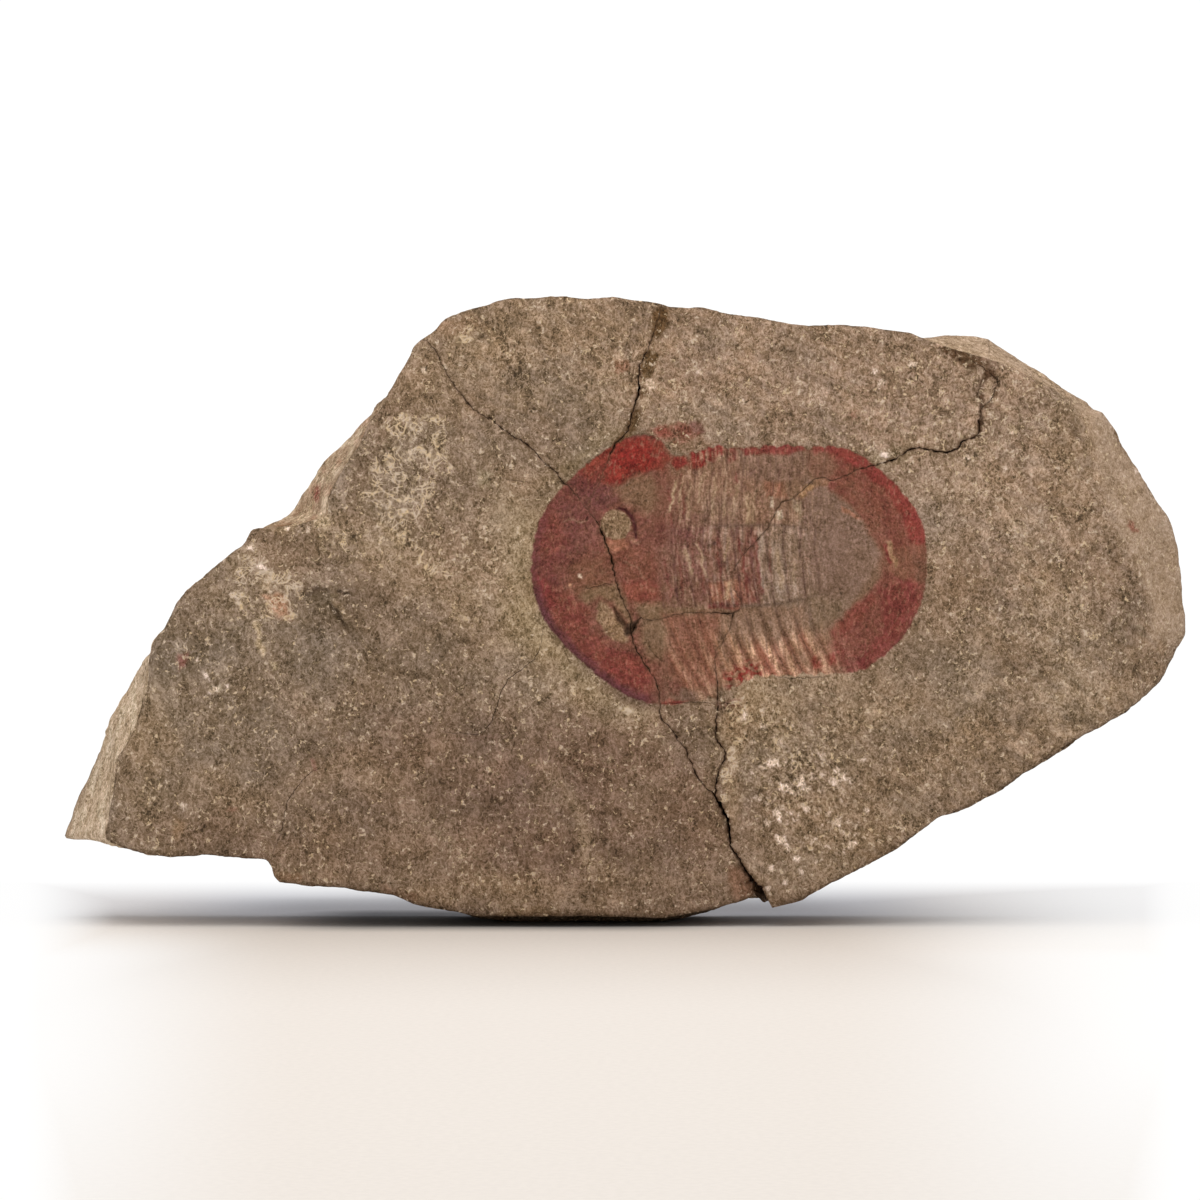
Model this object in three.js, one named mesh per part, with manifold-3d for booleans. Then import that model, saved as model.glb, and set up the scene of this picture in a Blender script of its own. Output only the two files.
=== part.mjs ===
// A slab of shale with a flattened trilobite on its front face, broken into five fragments that stand
// together on the slab's long lower edge. Millimetres, +Z up, the fossil faces -Y.
import * as THREE from 'three';
import { mergeVertices } from 'three/addons/utils/BufferGeometryUtils.js';
import Module from 'manifold-3d';

// ---- driving dimensions (mm) ----
const JOINT_GAP = 0.3;         // the hairline joints between fragments
const LOWER_JOINT_GAP = 1.5;   // the lowest joint, where it gapes at the bottom edge
const MARGIN_HEIGHT = 0.8;     // how far the trilobite's margin stands above the stone
const BODY_HEIGHT = 1.5;       // further rise of its body towards the middle
const AXIS_HEIGHT = 0.8;       // further rise of the axial lobe along the middle
const AXIS_HALF_WIDTH = 9;
const EYE_HEIGHT = 0.9;
const EYES = [[-1.72, 81.81], [-2.73, 63.38]];
const STONE_SWELL = 0.35;      // slow unevenness of the bedding plane
const BACK_SWELL = 0.8;

// Middle of the trilobite in the plane of the slab: x to the right, z up from the floor.
const CENTRE = [21.36, 74.32];

// The slab's rim, one row for each spoke round CENTRE. Each row holds three points as x, y, z:
// the edge of the front face, the widest edge and the edge of the back face.
// y is the depth behind the bedding plane. The rows with z = 0 twice are the flat foot.
const RIM = [
  [-105.14, 1, 18.36, -116.97, 21, 16.37, -114.81, 26.5, 17.27], [-104.53, 1, 21.4, -115.51, 21, 19.71, -112.46, 26.39, 20.92],
  [-103.92, 1, 25.25, -113.63, 21, 24.71, -111.04, 26.28, 25.66], [-102.71, 1, 34.38, -109.67, 21, 33.26, -107.62, 26.18, 33.91],
  [-99.06, 1, 40.87, -105.69, 15, 42.22, -103.48, 26.1, 42.78], [-96.62, 1, 48.57, -101.76, 15, 49.67, -99.54, 26.04, 50.12],
  [-96.22, 1, 53.64, -98.49, 9, 53.91, -96.37, 26.01, 54.27], [-95.2, 1, 58.71, -94.7, 12, 58.78, -92.18, 26, 59.12],
  [-93.58, 1, 60.13, -92.66, 12, 60.25, -89.41, 26.02, 60.65], [-91.68, 0.4, 63.79, -90.75, 12, 63.87, -88.09, 26.06, 64.12],
  [-90.67, 0.4, 66.01, -90.05, 12, 66.06, -88.7, 26.13, 66.16], [-87.02, 0.4, 69.05, -86.35, 12, 69.09, -84.36, 26.21, 69.18],
  [-82.97, 0.4, 72.9, -82.53, 12, 72.91, -79.39, 26.31, 72.95], [-78.92, 0.4, 76.35, -78.5, 12, 76.34, -75.66, 26.42, 76.28],
  [-77.3, 0.4, 77.16, -76.49, 12, 77.14, -74.2, 26.54, 77.07], [-75.27, 0.4, 80.4, -74.54, 12, 80.35, -72.06, 26.65, 80.2],
  [-71.42, 0.4, 81.01, -72.74, 10, 82.03, -70.68, 26.76, 81.86], [-65.75, 0.4, 81.62, -69.59, 16, 83.41, -67.64, 26.85, 83.21],
  [-60.07, 0.4, 83.24, -68.14, 16, 85.48, -65.77, 26.92, 85.19], [-60.07, 0.4, 86.48, -66.06, 16, 89, -62.82, 26.97, 88.46],
  [-57.84, 0.4, 91.34, -61.92, 16, 94.8, -59.07, 27, 94.1], [-53.99, 0.4, 97.42, -56.74, 16, 100.39, -55.16, 27, 99.86],
  [-51.97, 0.4, 101.88, -50.97, 10, 105.04, -49.47, 26.97, 104.4], [-49.54, 0.4, 105.12, -50.89, 12, 106.38, -48.23, 26.92, 105.2],
  [-47.51, 0.4, 108.77, -46.89, 12, 108.46, -44.34, 26.85, 107.18], [-45.48, 0.4, 111.81, -44.9, 12, 111.48, -42.83, 26.75, 110.32],
  [-43.46, 0.4, 115.25, -43.01, 12, 114.97, -40.77, 26.65, 113.55], [-42.65, 0.4, 117.88, -42.23, 12, 117.6, -40.24, 26.54, 116.25],
  [-41.43, 0.4, 119.1, -40.82, 12, 118.67, -39.4, 26.42, 117.65], [-38.19, 0.4, 120.92, -37.63, 12, 120.49, -35.93, 26.31, 119.16],
  [-36.37, 0.4, 123.15, -35.6, 12, 122.5, -33.15, 26.21, 120.43], [-31.3, 0.4, 124.77, -30.77, 12, 124.27, -28.51, 26.13, 122.1],
  [-27.25, 0.4, 126.19, -26.96, 12, 125.89, -25.62, 26.06, 124.45], [-23.2, 0.4, 127.41, -22.84, 12, 126.98, -21.87, 26.02, 125.83],
  [-16.11, 0.4, 127.61, -15.86, 12, 127.26, -14.34, 26, 125.1], [-9.01, 0.4, 127.41, -8.69, 12, 126.85, -7.31, 26.01, 124.43],
  [-1.92, 0.4, 127.61, -1.53, 12, 126.71, -0.57, 26.04, 124.51], [5.17, 0.4, 126.39, 5.39, 12, 125.68, 6.21, 26.1, 123.05],
  [9.22, 0.4, 125.58, 9.41, 12, 124.8, 10.03, 26.18, 122.17], [14.29, 0.4, 125.38, 14.37, 12, 124.81, 14.57, 26.28, 123.3],
  [20.37, 0.4, 124.57, 20.38, 12, 124.03, 20.41, 26.39, 122.14], [27.46, 0.4, 123.15, 27.38, 12, 122.56, 27, 26.5, 119.51],
  [35.56, 0.4, 122.14, 35.38, 12, 121.52, 34.45, 26.62, 118.39], [49.74, 0.4, 121.53, 49.35, 12, 120.87, 48.2, 26.72, 118.96],
  [57.85, 0.4, 120.32, 57.21, 12, 119.5, 56.12, 26.82, 118.14], [63.93, 0.4, 117.88, 65.9, 10, 120.65, 64.29, 26.9, 118.97],
  [69.2, 0.4, 116.26, 72.6, 15, 120.82, 70.63, 26.96, 119.03], [73.65, 0.4, 115.05, 74.67, 15, 120.2, 72.88, 26.99, 118.66],
  [78.92, 0.4, 113.22, 79.84, 15, 117.31, 77.58, 27, 115.65], [84.59, 0.4, 110.19, 86.05, 15, 113.58, 83.52, 26.98, 112.05],
  [87.98, 1.5, 108.43, 90.18, 15, 110.69, 88.65, 26.94, 109.88], [93.91, 3.26, 105.28, 96.53, 16, 107.02, 95.06, 26.87, 106.38],
  [97.47, 3.95, 104.71, 96.66, 16, 104.38, 94.02, 26.78, 103.33], [99.37, 4.42, 101.88, 98.94, 16, 101.73, 95.81, 26.68, 100.62],
  [101.07, 4.84, 97.82, 100.62, 16, 97.69, 98.27, 26.57, 97], [104.25, 5.63, 93.37, 103.64, 16, 93.23, 101.73, 26.46, 92.79],
  [106.8, 6.26, 89.3, 106.25, 16, 89.21, 104.25, 26.35, 88.86], [109.56, 6.95, 85.65, 108.68, 16, 85.53, 106.21, 26.24, 85.21],
  [111.7, 7.47, 82.59, 110.72, 16, 82.5, 108.45, 26.15, 82.29], [113.19, 7.84, 77.48, 112.61, 16, 77.46, 109.83, 26.08, 77.36],
  [114.04, 8, 72.36, 113.42, 16, 72.37, 110.26, 26.03, 72.44], [114.45, 8, 66.22, 114.04, 16, 66.25, 111.94, 26, 66.44],
  [115.06, 8, 63.15, 114.62, 16, 63.2, 113.34, 26, 63.35], [114.65, 8, 58.64, 113.83, 16, 58.78, 111.29, 26.03, 59.2],
  [112.76, 7.74, 55.57, 111.99, 16, 55.73, 108.77, 26.08, 56.39], [110.84, 7.26, 51.9, 110.03, 16, 52.1, 107.5, 26.16, 52.73],
  [109.56, 6.95, 49.45, 108.74, 16, 49.68, 106.68, 26.25, 50.26], [107.44, 6.42, 47.42, 107.02, 16, 47.55, 104.85, 26.35, 48.23],
  [102.59, 1.5, 44.1, 102.17, 12, 44.25, 100.03, 26.47, 45.05], [98.54, 1.5, 41.66, 98.02, 12, 41.88, 96.05, 26.58, 42.71],
  [91.43, 1.5, 37.81, 90.95, 12, 38.06, 88.56, 26.69, 39.3], [84.19, 0.4, 32.99, 83.36, 12, 33.53, 80.61, 26.79, 35.34],
  [76.09, 0.4, 27.92, 75.42, 12, 28.48, 73.56, 26.88, 30.06], [71.02, 0.4, 25.09, 70.58, 12, 25.52, 69.72, 26.94, 26.38],
  [63.93, 0.4, 22.05, 63.52, 12, 22.55, 62.1, 26.98, 24.29], [58.86, 0.4, 18.6, 58.58, 12, 19.02, 56.81, 27, 21.66],
  [53.8, 0.4, 15.16, 53.57, 12, 15.57, 52.27, 26.99, 17.94], [45.69, 0.4, 10.7, 45.4, 12, 11.47, 44.58, 26.95, 13.6],
  [35.56, 0.4, 5.43, 35.42, 12, 6.14, 34.91, 26.89, 8.6], [29.89, 0.4, 4.01, 29.77, 12, 4.96, 29.53, 26.81, 6.98],
  [26.65, 0.4, 6.24, 26.59, 12, 7.01, 26.44, 26.72, 8.96], [23.2, 0.4, 5.03, 23.19, 12, 5.47, 23.12, 26.61, 8.01],
  [18.34, 0.4, 3.61, 18.36, 5, 0, 18.51, 24.5, 0], [11.86, 0.4, 2.39, 11.91, 5, 0, 12.27, 24.5, 0],
  [7.4, 0.4, 1.79, 7.52, 5, 0, 7.8, 24.5, 0], [-2.94, 0.4, 1.99, -2.61, 5, 0, -2.01, 24.5, 0],
  [-9.42, 0.4, 2.29, -9.12, 5, 0, -7.94, 24.5, 0], [-15.9, 0.4, 2.19, -15.57, 5, 0, -14.32, 24.5, 0],
  [-22.39, 0.4, 1.99, -22.07, 5, 0, -20.84, 24.5, 0], [-29.48, 0.4, 2.19, -29.16, 5, 0, -27.61, 24.5, 0],
  [-35.96, 0.4, 3.41, -35.59, 5, 0, -34.2, 24.5, 0], [-42.45, 0.4, 4.62, -41.95, 12, 5.16, -40.77, 26.06, 6.45],
  [-46.29, 0.4, 6.45, -45.77, 12, 6.97, -44.12, 26.13, 8.63], [-49.54, 0.4, 6.73, -48.8, 12, 7.43, -46.4, 26.22, 9.72],
  [-55.62, 0.4, 7.66, -55.13, 12, 8.08, -52.89, 26.32, 10.02], [-63.72, 0.4, 8.47, -63.38, 12, 8.74, -61.95, 26.43, 9.84],
  [-69.8, 0.4, 9.08, -69.36, 12, 9.4, -68.11, 26.54, 10.28], [-71.22, 0.4, 10.09, -70.86, 12, 10.34, -68.58, 26.66, 11.92],
  [-71.62, 0.4, 12.32, -71.01, 12, 12.73, -68.76, 26.76, 14.23], [-72.63, 0.4, 13.54, -71.82, 12, 14.06, -69.8, 26.85, 15.37],
  [-77.5, 0.4, 13.94, -76.88, 12, 14.32, -74.46, 26.92, 15.79], [-84.99, 0.4, 14.55, -84.29, 12, 14.95, -82.07, 26.97, 16.2],
  [-92.09, 0.4, 13.94, -91.65, 12, 14.17, -90.32, 27, 14.88], [-97.03, 1, 14.71, -96.57, 12, 14.94, -94.72, 27, 15.87],
  [-102.3, 1, 16.33, -103.82, 9, 15.56, -100.91, 26.97, 16.92], [-103.92, 1, 17.14, -108.17, 15, 16.37, -105.31, 26.92, 17.65],
  [-104.73, 1, 17.35, -111.54, 21, 16.79, -109.64, 26.84, 17.61], [-104.94, 1, 17.75, -115.92, 21, 15.74, -114.31, 26.75, 16.43],
];

// Outline of the trilobite in the plane of the slab, x and z.
const TRILOBITE = [
  [-18.93, 72.29], [-17.52, 81.81], [-12.25, 89.51], [-5.57, 95.38], [0.3, 99.02], [5.77, 101.45], [14.07, 102.67], [15.69, 100.24],
  [18.73, 97.2], [25.82, 97.2], [34.12, 97.81], [37.16, 97], [40.2, 97.61], [44.85, 97], [49.71, 94.16], [53.76, 90.72],
  [57.41, 87.08], [59.64, 83.63], [60.85, 78.77], [61.26, 74.72], [60.85, 68.65], [59.64, 63.99], [56.8, 59.13], [53.16, 55.69],
  [49.11, 52.65], [44.85, 51.44], [40.8, 51.23], [34.12, 50.83], [27.03, 50.83], [21.36, 47.99], [12.86, 45.16], [6.78, 45.16],
  [2.13, 46.17], [-1.52, 47.99], [-6.18, 51.44], [-11.04, 55.69], [-14.48, 59.74], [-16.91, 63.38], [-18.33, 67.43],
];

// Joints between fragments, x and z, each from end to end.
const JOINTS = {
  upper: [  // from the top edge, down across the head and on to the lower joint
    [-42.02, 120.69], [-40.4, 119.07], [-38.17, 116.64], [-37.16, 114.21], [-35.34, 110.97], [-33.11, 107.93], [-30.68, 104.9], [-28.86, 103.48],
    [-27.24, 103.07], [-24.2, 100.44], [-20.76, 98.42], [-18.73, 96.8], [-16.91, 94.77], [-14.48, 92.54], [-12.25, 89.91], [-10.02, 87.68],
    [-7.8, 84.85], [-6.58, 83.23], [-5.37, 81.81], [-4.35, 79.38], [-3.34, 76.75], [-2.53, 74.12], [-2.13, 71.69], [-1.52, 69.46],
    [-0.71, 66.83], [0.51, 64.19], [1.32, 62.17], [1.32, 59.33], [2.13, 56.7], [3.34, 54.47], [4.76, 52.45], [6.18, 50.22],
    [6.99, 47.99], [7.19, 45.36], [6.99, 43.54], [7.8, 41.92], [9.42, 40.1], [10.83, 37.87], [12.45, 36.05], [13.26, 33.62],
    [14.07, 31.79], [15.09, 29.97], [16.71, 27.95], [18.33, 26.53],
  ],
  lower: [  // opens towards the bottom edge
    [18.33, 26.53], [19.14, 25.11], [19.95, 23.69], [21.16, 21.06], [21.36, 18.63], [21.36, 16.61], [23.39, 13.77], [24.2, 12.15],
    [25.21, 10.53], [26.22, 8.91], [27.24, 7.29], [28.05, 5.67], [29.46, 2.43],
  ],
  wedgeRight: [  // right side of the small wedge
    [21.97, 63.59], [21.57, 61.16], [20.76, 59.33], [19.54, 57.31], [18.33, 55.89], [18.33, 52.25], [18.93, 49.61], [18.73, 46.98],
    [18.93, 44.15], [18.53, 41.72], [18.53, 39.69], [18.53, 38.07], [19.54, 36.65], [20.35, 34.02], [19.34, 32.4], [18.93, 30.78],
    [18.53, 28.76], [18.33, 26.53],
  ],
  wedgeTop: [  // top of the small wedge, along the axis of the thorax
    [1.32, 59.33], [2.53, 61.56], [4.56, 62.17], [6.99, 62.17], [9.62, 63.18], [12.05, 63.59], [15.29, 63.59], [18.73, 63.59],
    [21.97, 63.59], [23.79, 64.6], [23.59, 66.02],
  ],
  rightFragment: [  // from the upper right edge to the thorax
    [73.61, 121.91], [73, 119.07], [74.01, 115.02], [74.01, 112.39], [71.99, 110.16], [71.58, 107.93], [72.19, 105.3], [71.99, 103.07],
    [71.79, 100.04], [68.75, 98.62], [67.74, 97], [65.71, 96.19], [63.08, 96.39], [59.43, 97], [57.81, 96.8], [55.59, 95.18],
    [52.95, 94.16], [50.32, 93.35], [46.88, 92.54], [44.25, 91.12], [41.82, 90.32], [39.99, 91.12], [38.37, 90.52], [35.74, 88.09],
    [33.51, 86.47], [31.49, 85.86], [30.07, 82.82], [28.45, 80.19], [26.43, 77.76], [24, 75.53], [22.58, 73.1], [21.57, 71.69],
    [22.38, 68.24], [23.59, 66.02],
  ],
  topWedge: [  // right side of the wedge above the head
    [8.4, 127.98], [7.59, 125.55], [6.18, 121.3], [5.16, 117.86], [3.75, 115.02], [2.94, 113.2], [2.94, 109.55], [2.53, 106.92],
    [1.52, 103.88], [0.91, 101.05], [-1.72, 98.01], [-2.94, 95.78], [-3.54, 93.96], [-4.96, 90.52], [-6.58, 87.08], [-7.8, 84.85],
  ],
};

// A point inside each fragment, and its colour.
const FRAGMENTS = {
  left_slab: { at: [-38, 50], colour: 0x827058 },
  top_wedge: { at: [-18, 110], colour: 0x8e765e },
  top_right: { at: [35, 104], colour: 0x8c6a56 },
  small_wedge: { at: [13, 48], colour: 0x8a7058 },
  right_slab: { at: [72, 62], colour: 0x8f7560 },
};

const smooth = (a, b, v) => {
  const t = Math.min(1, Math.max(0, (v - a) / (b - a)));
  return t * t * (3 - 2 * t);
};

// Slow unevenness of the bedding plane, towards the viewer.
const swell = (x, z) =>
  STONE_SWELL * (Math.sin(x * 0.045 + 0.4) * Math.cos(z * 0.06 - 0.3) + 0.5 * Math.sin(x * 0.11 + z * 0.09));

// Height of the trilobite above the stone, with s = 0 in its middle and 1 on its outline.
const body = (x, z, s) => {
  const w = z - CENTRE[1] + 2;
  const axis = Math.exp(-((w / AXIS_HALF_WIDTH) ** 2)) * (1 - smooth(0.7, 1, s));
  let h = MARGIN_HEIGHT + BODY_HEIGHT * (1 - s ** 2.2) + AXIS_HEIGHT * axis;
  for (const [ex, ez] of EYES) h += EYE_HEIGHT * Math.exp(-(((x - ex) ** 2 + (z - ez) ** 2) / 9));
  return h;
};

// Where the ray from CENTRE towards (x, z) leaves the trilobite's outline.
function outlineAt(x, z) {
  const dx = x - CENTRE[0], dz = z - CENTRE[1];
  let far = 0;
  TRILOBITE.forEach(([ax, az], i) => {
    const [bx, bz] = TRILOBITE[(i + 1) % TRILOBITE.length];
    const ex = bx - ax, ez = bz - az, den = dx * ez - dz * ex;
    if (Math.abs(den) < 1e-9) return;
    const t = ((ax - CENTRE[0]) * ez - (az - CENTRE[1]) * ex) / den;
    const u = ((ax - CENTRE[0]) * dz - (az - CENTRE[1]) * dx) / den;
    if (u >= 0 && u <= 1 && t > far) far = t;
  });
  return [CENTRE[0] + dx * far, CENTRE[1] + dz * far];
}

// The whole slab: a sphere's grid, with its rings moved to rings of the slab. The first pole is the middle
// of the trilobite and the last one is the middle of the back.
function slabGeometry() {
  const inner = [0.3, 0.58, 0.82, 1.0, 1.07];   // rings on the trilobite, the last one on the stone round it
  const outer = [0.2, 0.45, 0.74, 1.0];         // rings from there to the edge of the front face
  const rings = inner.length + outer.length + 4;
  const geometry = new THREE.SphereGeometry(1, RIM.length, rings);
  const position = geometry.attributes.position;
  const back = RIM.reduce((m, r) => m + r[7], 0) / RIM.length;
  for (let iy = 0; iy <= rings; iy++) {
    for (let ix = 0; ix <= RIM.length; ix++) {
      const r = RIM[ix % RIM.length];
      const [tx, tz] = outlineAt(r[0], r[2]);
      let p;
      if (iy === 0) p = [CENTRE[0], -swell(...CENTRE) - body(...CENTRE, 0), CENTRE[1]];
      else if (iy <= inner.length) {
        const s = inner[iy - 1];
        const x = CENTRE[0] + s * (tx - CENTRE[0]), z = CENTRE[1] + s * (tz - CENTRE[1]);
        p = [x, -swell(x, z) - (s <= 1 ? body(x, z, s) : 0), z];
      } else if (iy <= inner.length + outer.length) {
        const t = outer[iy - 1 - inner.length], s = inner[inner.length - 1];
        const ax = CENTRE[0] + s * (tx - CENTRE[0]), az = CENTRE[1] + s * (tz - CENTRE[1]);
        const x = ax + t * (r[0] - ax), z = az + t * (r[2] - az);
        p = [x, r[1] * smooth(0.7, 1, t) - swell(x, z) * (1 - 0.5 * t), z];
      } else {
        const k = iy - inner.length - outer.length;
        if (k === 1) p = r.slice(3, 6);
        else if (k === 2) p = r.slice(6, 9);
        else if (k === 3) {
          const x = CENTRE[0] - 10 + 0.55 * (r[6] - CENTRE[0] + 10), z = CENTRE[1] - 12 + 0.55 * (r[8] - CENTRE[1] + 12);
          p = [x, back + BACK_SWELL * Math.sin(x * 0.05 + z * 0.07), z];
        } else p = [CENTRE[0] - 10, back + BACK_SWELL, CENTRE[1] - 12];
      }
      position.setXYZ(iy * (RIM.length + 1) + ix, ...p);
    }
  }
  return geometry;
}

// A thin wall along a joint, through the whole slab. width gives its width at each share of the way.
function jointGeometry(line, width, overrun) {
  const pts = line.map(([x, z]) => new THREE.Vector2(x, z));
  const last = pts.length - 1;
  const extend = (a, b, d) => a.clone().add(a.clone().sub(b).normalize().multiplyScalar(d));
  const first = extend(pts[0], pts[1], overrun[0]), end = extend(pts[last], pts[last - 1], overrun[1]);
  pts[0] = first;
  pts[last] = end;
  const left = [], right = [];
  pts.forEach((p, i) => {
    const a = pts[Math.max(0, i - 1)], b = pts[Math.min(last, i + 1)];
    const d1 = p.clone().sub(a), d2 = b.clone().sub(p);
    if (i === 0) d1.copy(d2);
    if (i === last) d2.copy(d1);
    const n1 = new THREE.Vector2(-d1.y, d1.x).normalize(), n2 = new THREE.Vector2(-d2.y, d2.x).normalize();
    const n = n1.clone().add(n2).normalize();
    const half = (width(i / last) / 2) / Math.max(0.6, n.dot(n1));
    left.push(p.clone().addScaledVector(n, half));
    right.push(p.clone().addScaledVector(n, -half));
  });
  const geometry = new THREE.ExtrudeGeometry(new THREE.Shape([...left, ...right.reverse()]), { depth: 60, bevelEnabled: false });
  geometry.rotateX(Math.PI / 2);
  geometry.translate(0, 45, 0);
  return geometry;
}

const wasm = await Module();
wasm.setup();

function solid(geometry) {
  const g = geometry.index ? geometry.clone() : geometry;
  g.deleteAttribute('normal');
  g.deleteAttribute('uv');
  const merged = mergeVertices(g, 1e-4);
  const a = merged.attributes.position.array, index = Array.from(merged.index.array);
  // turn the faces outwards and leave out those with no area
  let volume = 0;
  const tri = [];
  for (let i = 0; i < index.length; i += 3) {
    const [p, q, r] = index.slice(i, i + 3);
    if (p === q || q === r || r === p) continue;
    tri.push(p, q, r);
    const [P, Q, R] = [p, q, r].map((k) => new THREE.Vector3(a[3 * k], a[3 * k + 1], a[3 * k + 2]));
    volume += P.dot(Q.cross(R));
  }
  if (volume < 0) for (let i = 0; i < tri.length; i += 3) [tri[i + 1], tri[i + 2]] = [tri[i + 2], tri[i + 1]];
  return new wasm.Manifold(new wasm.Mesh({ numProp: 3, vertProperties: new Float32Array(a), triVerts: new Uint32Array(tri) }));
}

const hairline = () => JOINT_GAP;
const gaping = (t) => JOINT_GAP + (LOWER_JOINT_GAP - JOINT_GAP) * (0.3 * smooth(0, 0.12, t) + 0.7 * smooth(0.35, 1, t));
let slab = solid(slabGeometry());
for (const [line, width, overrun] of [
  [JOINTS.upper, hairline, [8, 0.1]],
  [JOINTS.lower, gaping, [0.2, 12]],
  [JOINTS.wedgeRight, hairline, [0.1, 0.1]],
  [JOINTS.wedgeTop, hairline, [0.1, 0.1]],
  [JOINTS.rightFragment, hairline, [8, 0.1]],
  [JOINTS.topWedge, hairline, [8, 0.1]],
]) slab = slab.subtract(solid(jointGeometry(line, width, overrun)));

// The loose fragments, each under its name. Crumbs at the joints' crossings are left out.
const group = new THREE.Group();
const found = {};
for (const piece of slab.decompose()) {
  const mesh = piece.getMesh();
  const v = mesh.vertProperties, t = mesh.triVerts;
  let volume = 0, cx = 0, cz = 0;
  for (let i = 0; i < t.length; i += 3) {
    const [P, Q, R] = [0, 1, 2].map((k) => new THREE.Vector3(v[3 * t[i + k]], v[3 * t[i + k] + 1], v[3 * t[i + k] + 2]));
    const w = P.dot(Q.clone().cross(R)) / 6;
    volume += w;
    cx += (w * (P.x + Q.x + R.x)) / 4;
    cz += (w * (P.z + Q.z + R.z)) / 4;
  }
  if (volume < 20) continue;
  cx /= volume;
  cz /= volume;
  const name = Object.keys(FRAGMENTS).sort((p, q) =>
    Math.hypot(cx - FRAGMENTS[p].at[0], cz - FRAGMENTS[p].at[1]) - Math.hypot(cx - FRAGMENTS[q].at[0], cz - FRAGMENTS[q].at[1]))[0];
  if (found[name]) throw new Error('two fragments are called ' + name);
  const geometry = new THREE.BufferGeometry();
  geometry.setAttribute('position', new THREE.BufferAttribute(new Float32Array(v), 3));
  geometry.setIndex(new THREE.BufferAttribute(new Uint32Array(t), 1));
  found[name] = new THREE.Mesh(geometry, new THREE.MeshStandardMaterial({ color: FRAGMENTS[name].colour, roughness: 0.85, metalness: 0 }));
  found[name].name = name;
}
for (const name of Object.keys(FRAGMENTS)) {
  if (!found[name]) throw new Error('no fragment is called ' + name);
  group.add(found[name]);
}

// The origin is the middle of the slab's box, on the floor.
const box = new THREE.Box3().setFromObject(group);
const middle = box.getCenter(new THREE.Vector3());
for (const mesh of group.children) mesh.geometry.translate(-middle.x, -middle.y, -box.min.z);

export default group;
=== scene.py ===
"""A slab of shale with a flattened trilobite on its front face, broken into five fragments that stand together on
the slab's long lower edge. Lengths are in millimetres until the meshes are made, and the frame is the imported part's."""
import math

import bpy
import numpy as np
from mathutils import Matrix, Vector
from mathutils.geometry import delaunay_2d_cdt
from mathutils.kdtree import KDTree


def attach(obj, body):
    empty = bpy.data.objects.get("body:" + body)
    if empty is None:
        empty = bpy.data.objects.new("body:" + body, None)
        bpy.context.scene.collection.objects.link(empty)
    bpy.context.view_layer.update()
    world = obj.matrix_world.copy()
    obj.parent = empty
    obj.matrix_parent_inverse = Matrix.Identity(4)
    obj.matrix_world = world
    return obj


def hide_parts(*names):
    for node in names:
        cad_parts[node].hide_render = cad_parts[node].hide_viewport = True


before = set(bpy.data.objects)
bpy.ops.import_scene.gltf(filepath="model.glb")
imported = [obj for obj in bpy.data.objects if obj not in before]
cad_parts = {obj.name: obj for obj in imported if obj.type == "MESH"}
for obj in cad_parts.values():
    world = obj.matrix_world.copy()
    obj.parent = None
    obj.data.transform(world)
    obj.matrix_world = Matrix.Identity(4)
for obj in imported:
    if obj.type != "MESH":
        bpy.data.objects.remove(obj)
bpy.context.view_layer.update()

# ---------------------------------------------------------------- places
# Drawing coordinates u (right) and v (down) lie in the bedding plane, one unit is STEP mm. x and z are the frame's,
# and depth runs behind the bedding plane.
STEP = 0.2025
X_SHIFT, Y_PLANE = 0.955, -12.076
VIEW_U, VIEW_V, VIEW_D = 600.0, 600.0, 700.0


def to_x(u):
    return (u - 624.5) * STEP + X_SHIFT


def to_z(v):
    return (927.0 - v) * STEP


def to_u(x):
    return (x - X_SHIFT) / STEP + 624.5


def to_v(z):
    return 927.0 - z / STEP


# ---------------------------------------------------------------- noise
_G = np.array([(1, 1, 0), (-1, 1, 0), (1, -1, 0), (-1, -1, 0), (1, 0, 1), (-1, 0, 1), (1, 0, -1), (-1, 0, -1),
               (0, 1, 1), (0, -1, 1), (0, 1, -1), (0, -1, -1), (1, 1, 0), (-1, 1, 0), (0, -1, 1), (0, -1, -1)], float)


def _hash(ix, iy, iz, seed):
    with np.errstate(over="ignore"):
        h = (ix.astype(np.uint32) * np.uint32(374761393) + iy.astype(np.uint32) * np.uint32(668265263)
             + iz.astype(np.uint32) * np.uint32(2246822519) + np.uint32((seed * 3266489917) & 0xFFFFFFFF))
        h = (h ^ (h >> np.uint32(15))) * np.uint32(2246822519)
        h = (h ^ (h >> np.uint32(13))) * np.uint32(3266489917)
        return h ^ (h >> np.uint32(16))


def perlin(x, y, z=0.0, seed=0):
    x, y, z = np.broadcast_arrays(np.asarray(x, float), np.asarray(y, float), np.asarray(z, float))
    fx, fy, fz = np.floor(x), np.floor(y), np.floor(z)
    ix, iy, iz = fx.astype(np.int64), fy.astype(np.int64), fz.astype(np.int64)
    x, y, z = x - fx, y - fy, z - fz
    sx, sy, sz = (t * t * t * (t * (t * 6 - 15) + 10) for t in (x, y, z))
    out = np.zeros(x.shape)
    for dx in (0, 1):
        wx = sx if dx else 1 - sx
        for dy in (0, 1):
            wy = sy if dy else 1 - sy
            for dz in (0, 1):
                wz = sz if dz else 1 - sz
                g = _G[_hash(ix + dx, iy + dy, iz + dz, seed) & np.uint32(15)]
                out += wx * wy * wz * (g[..., 0] * (x - dx) + g[..., 1] * (y - dy) + g[..., 2] * (z - dz))
    return out


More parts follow.
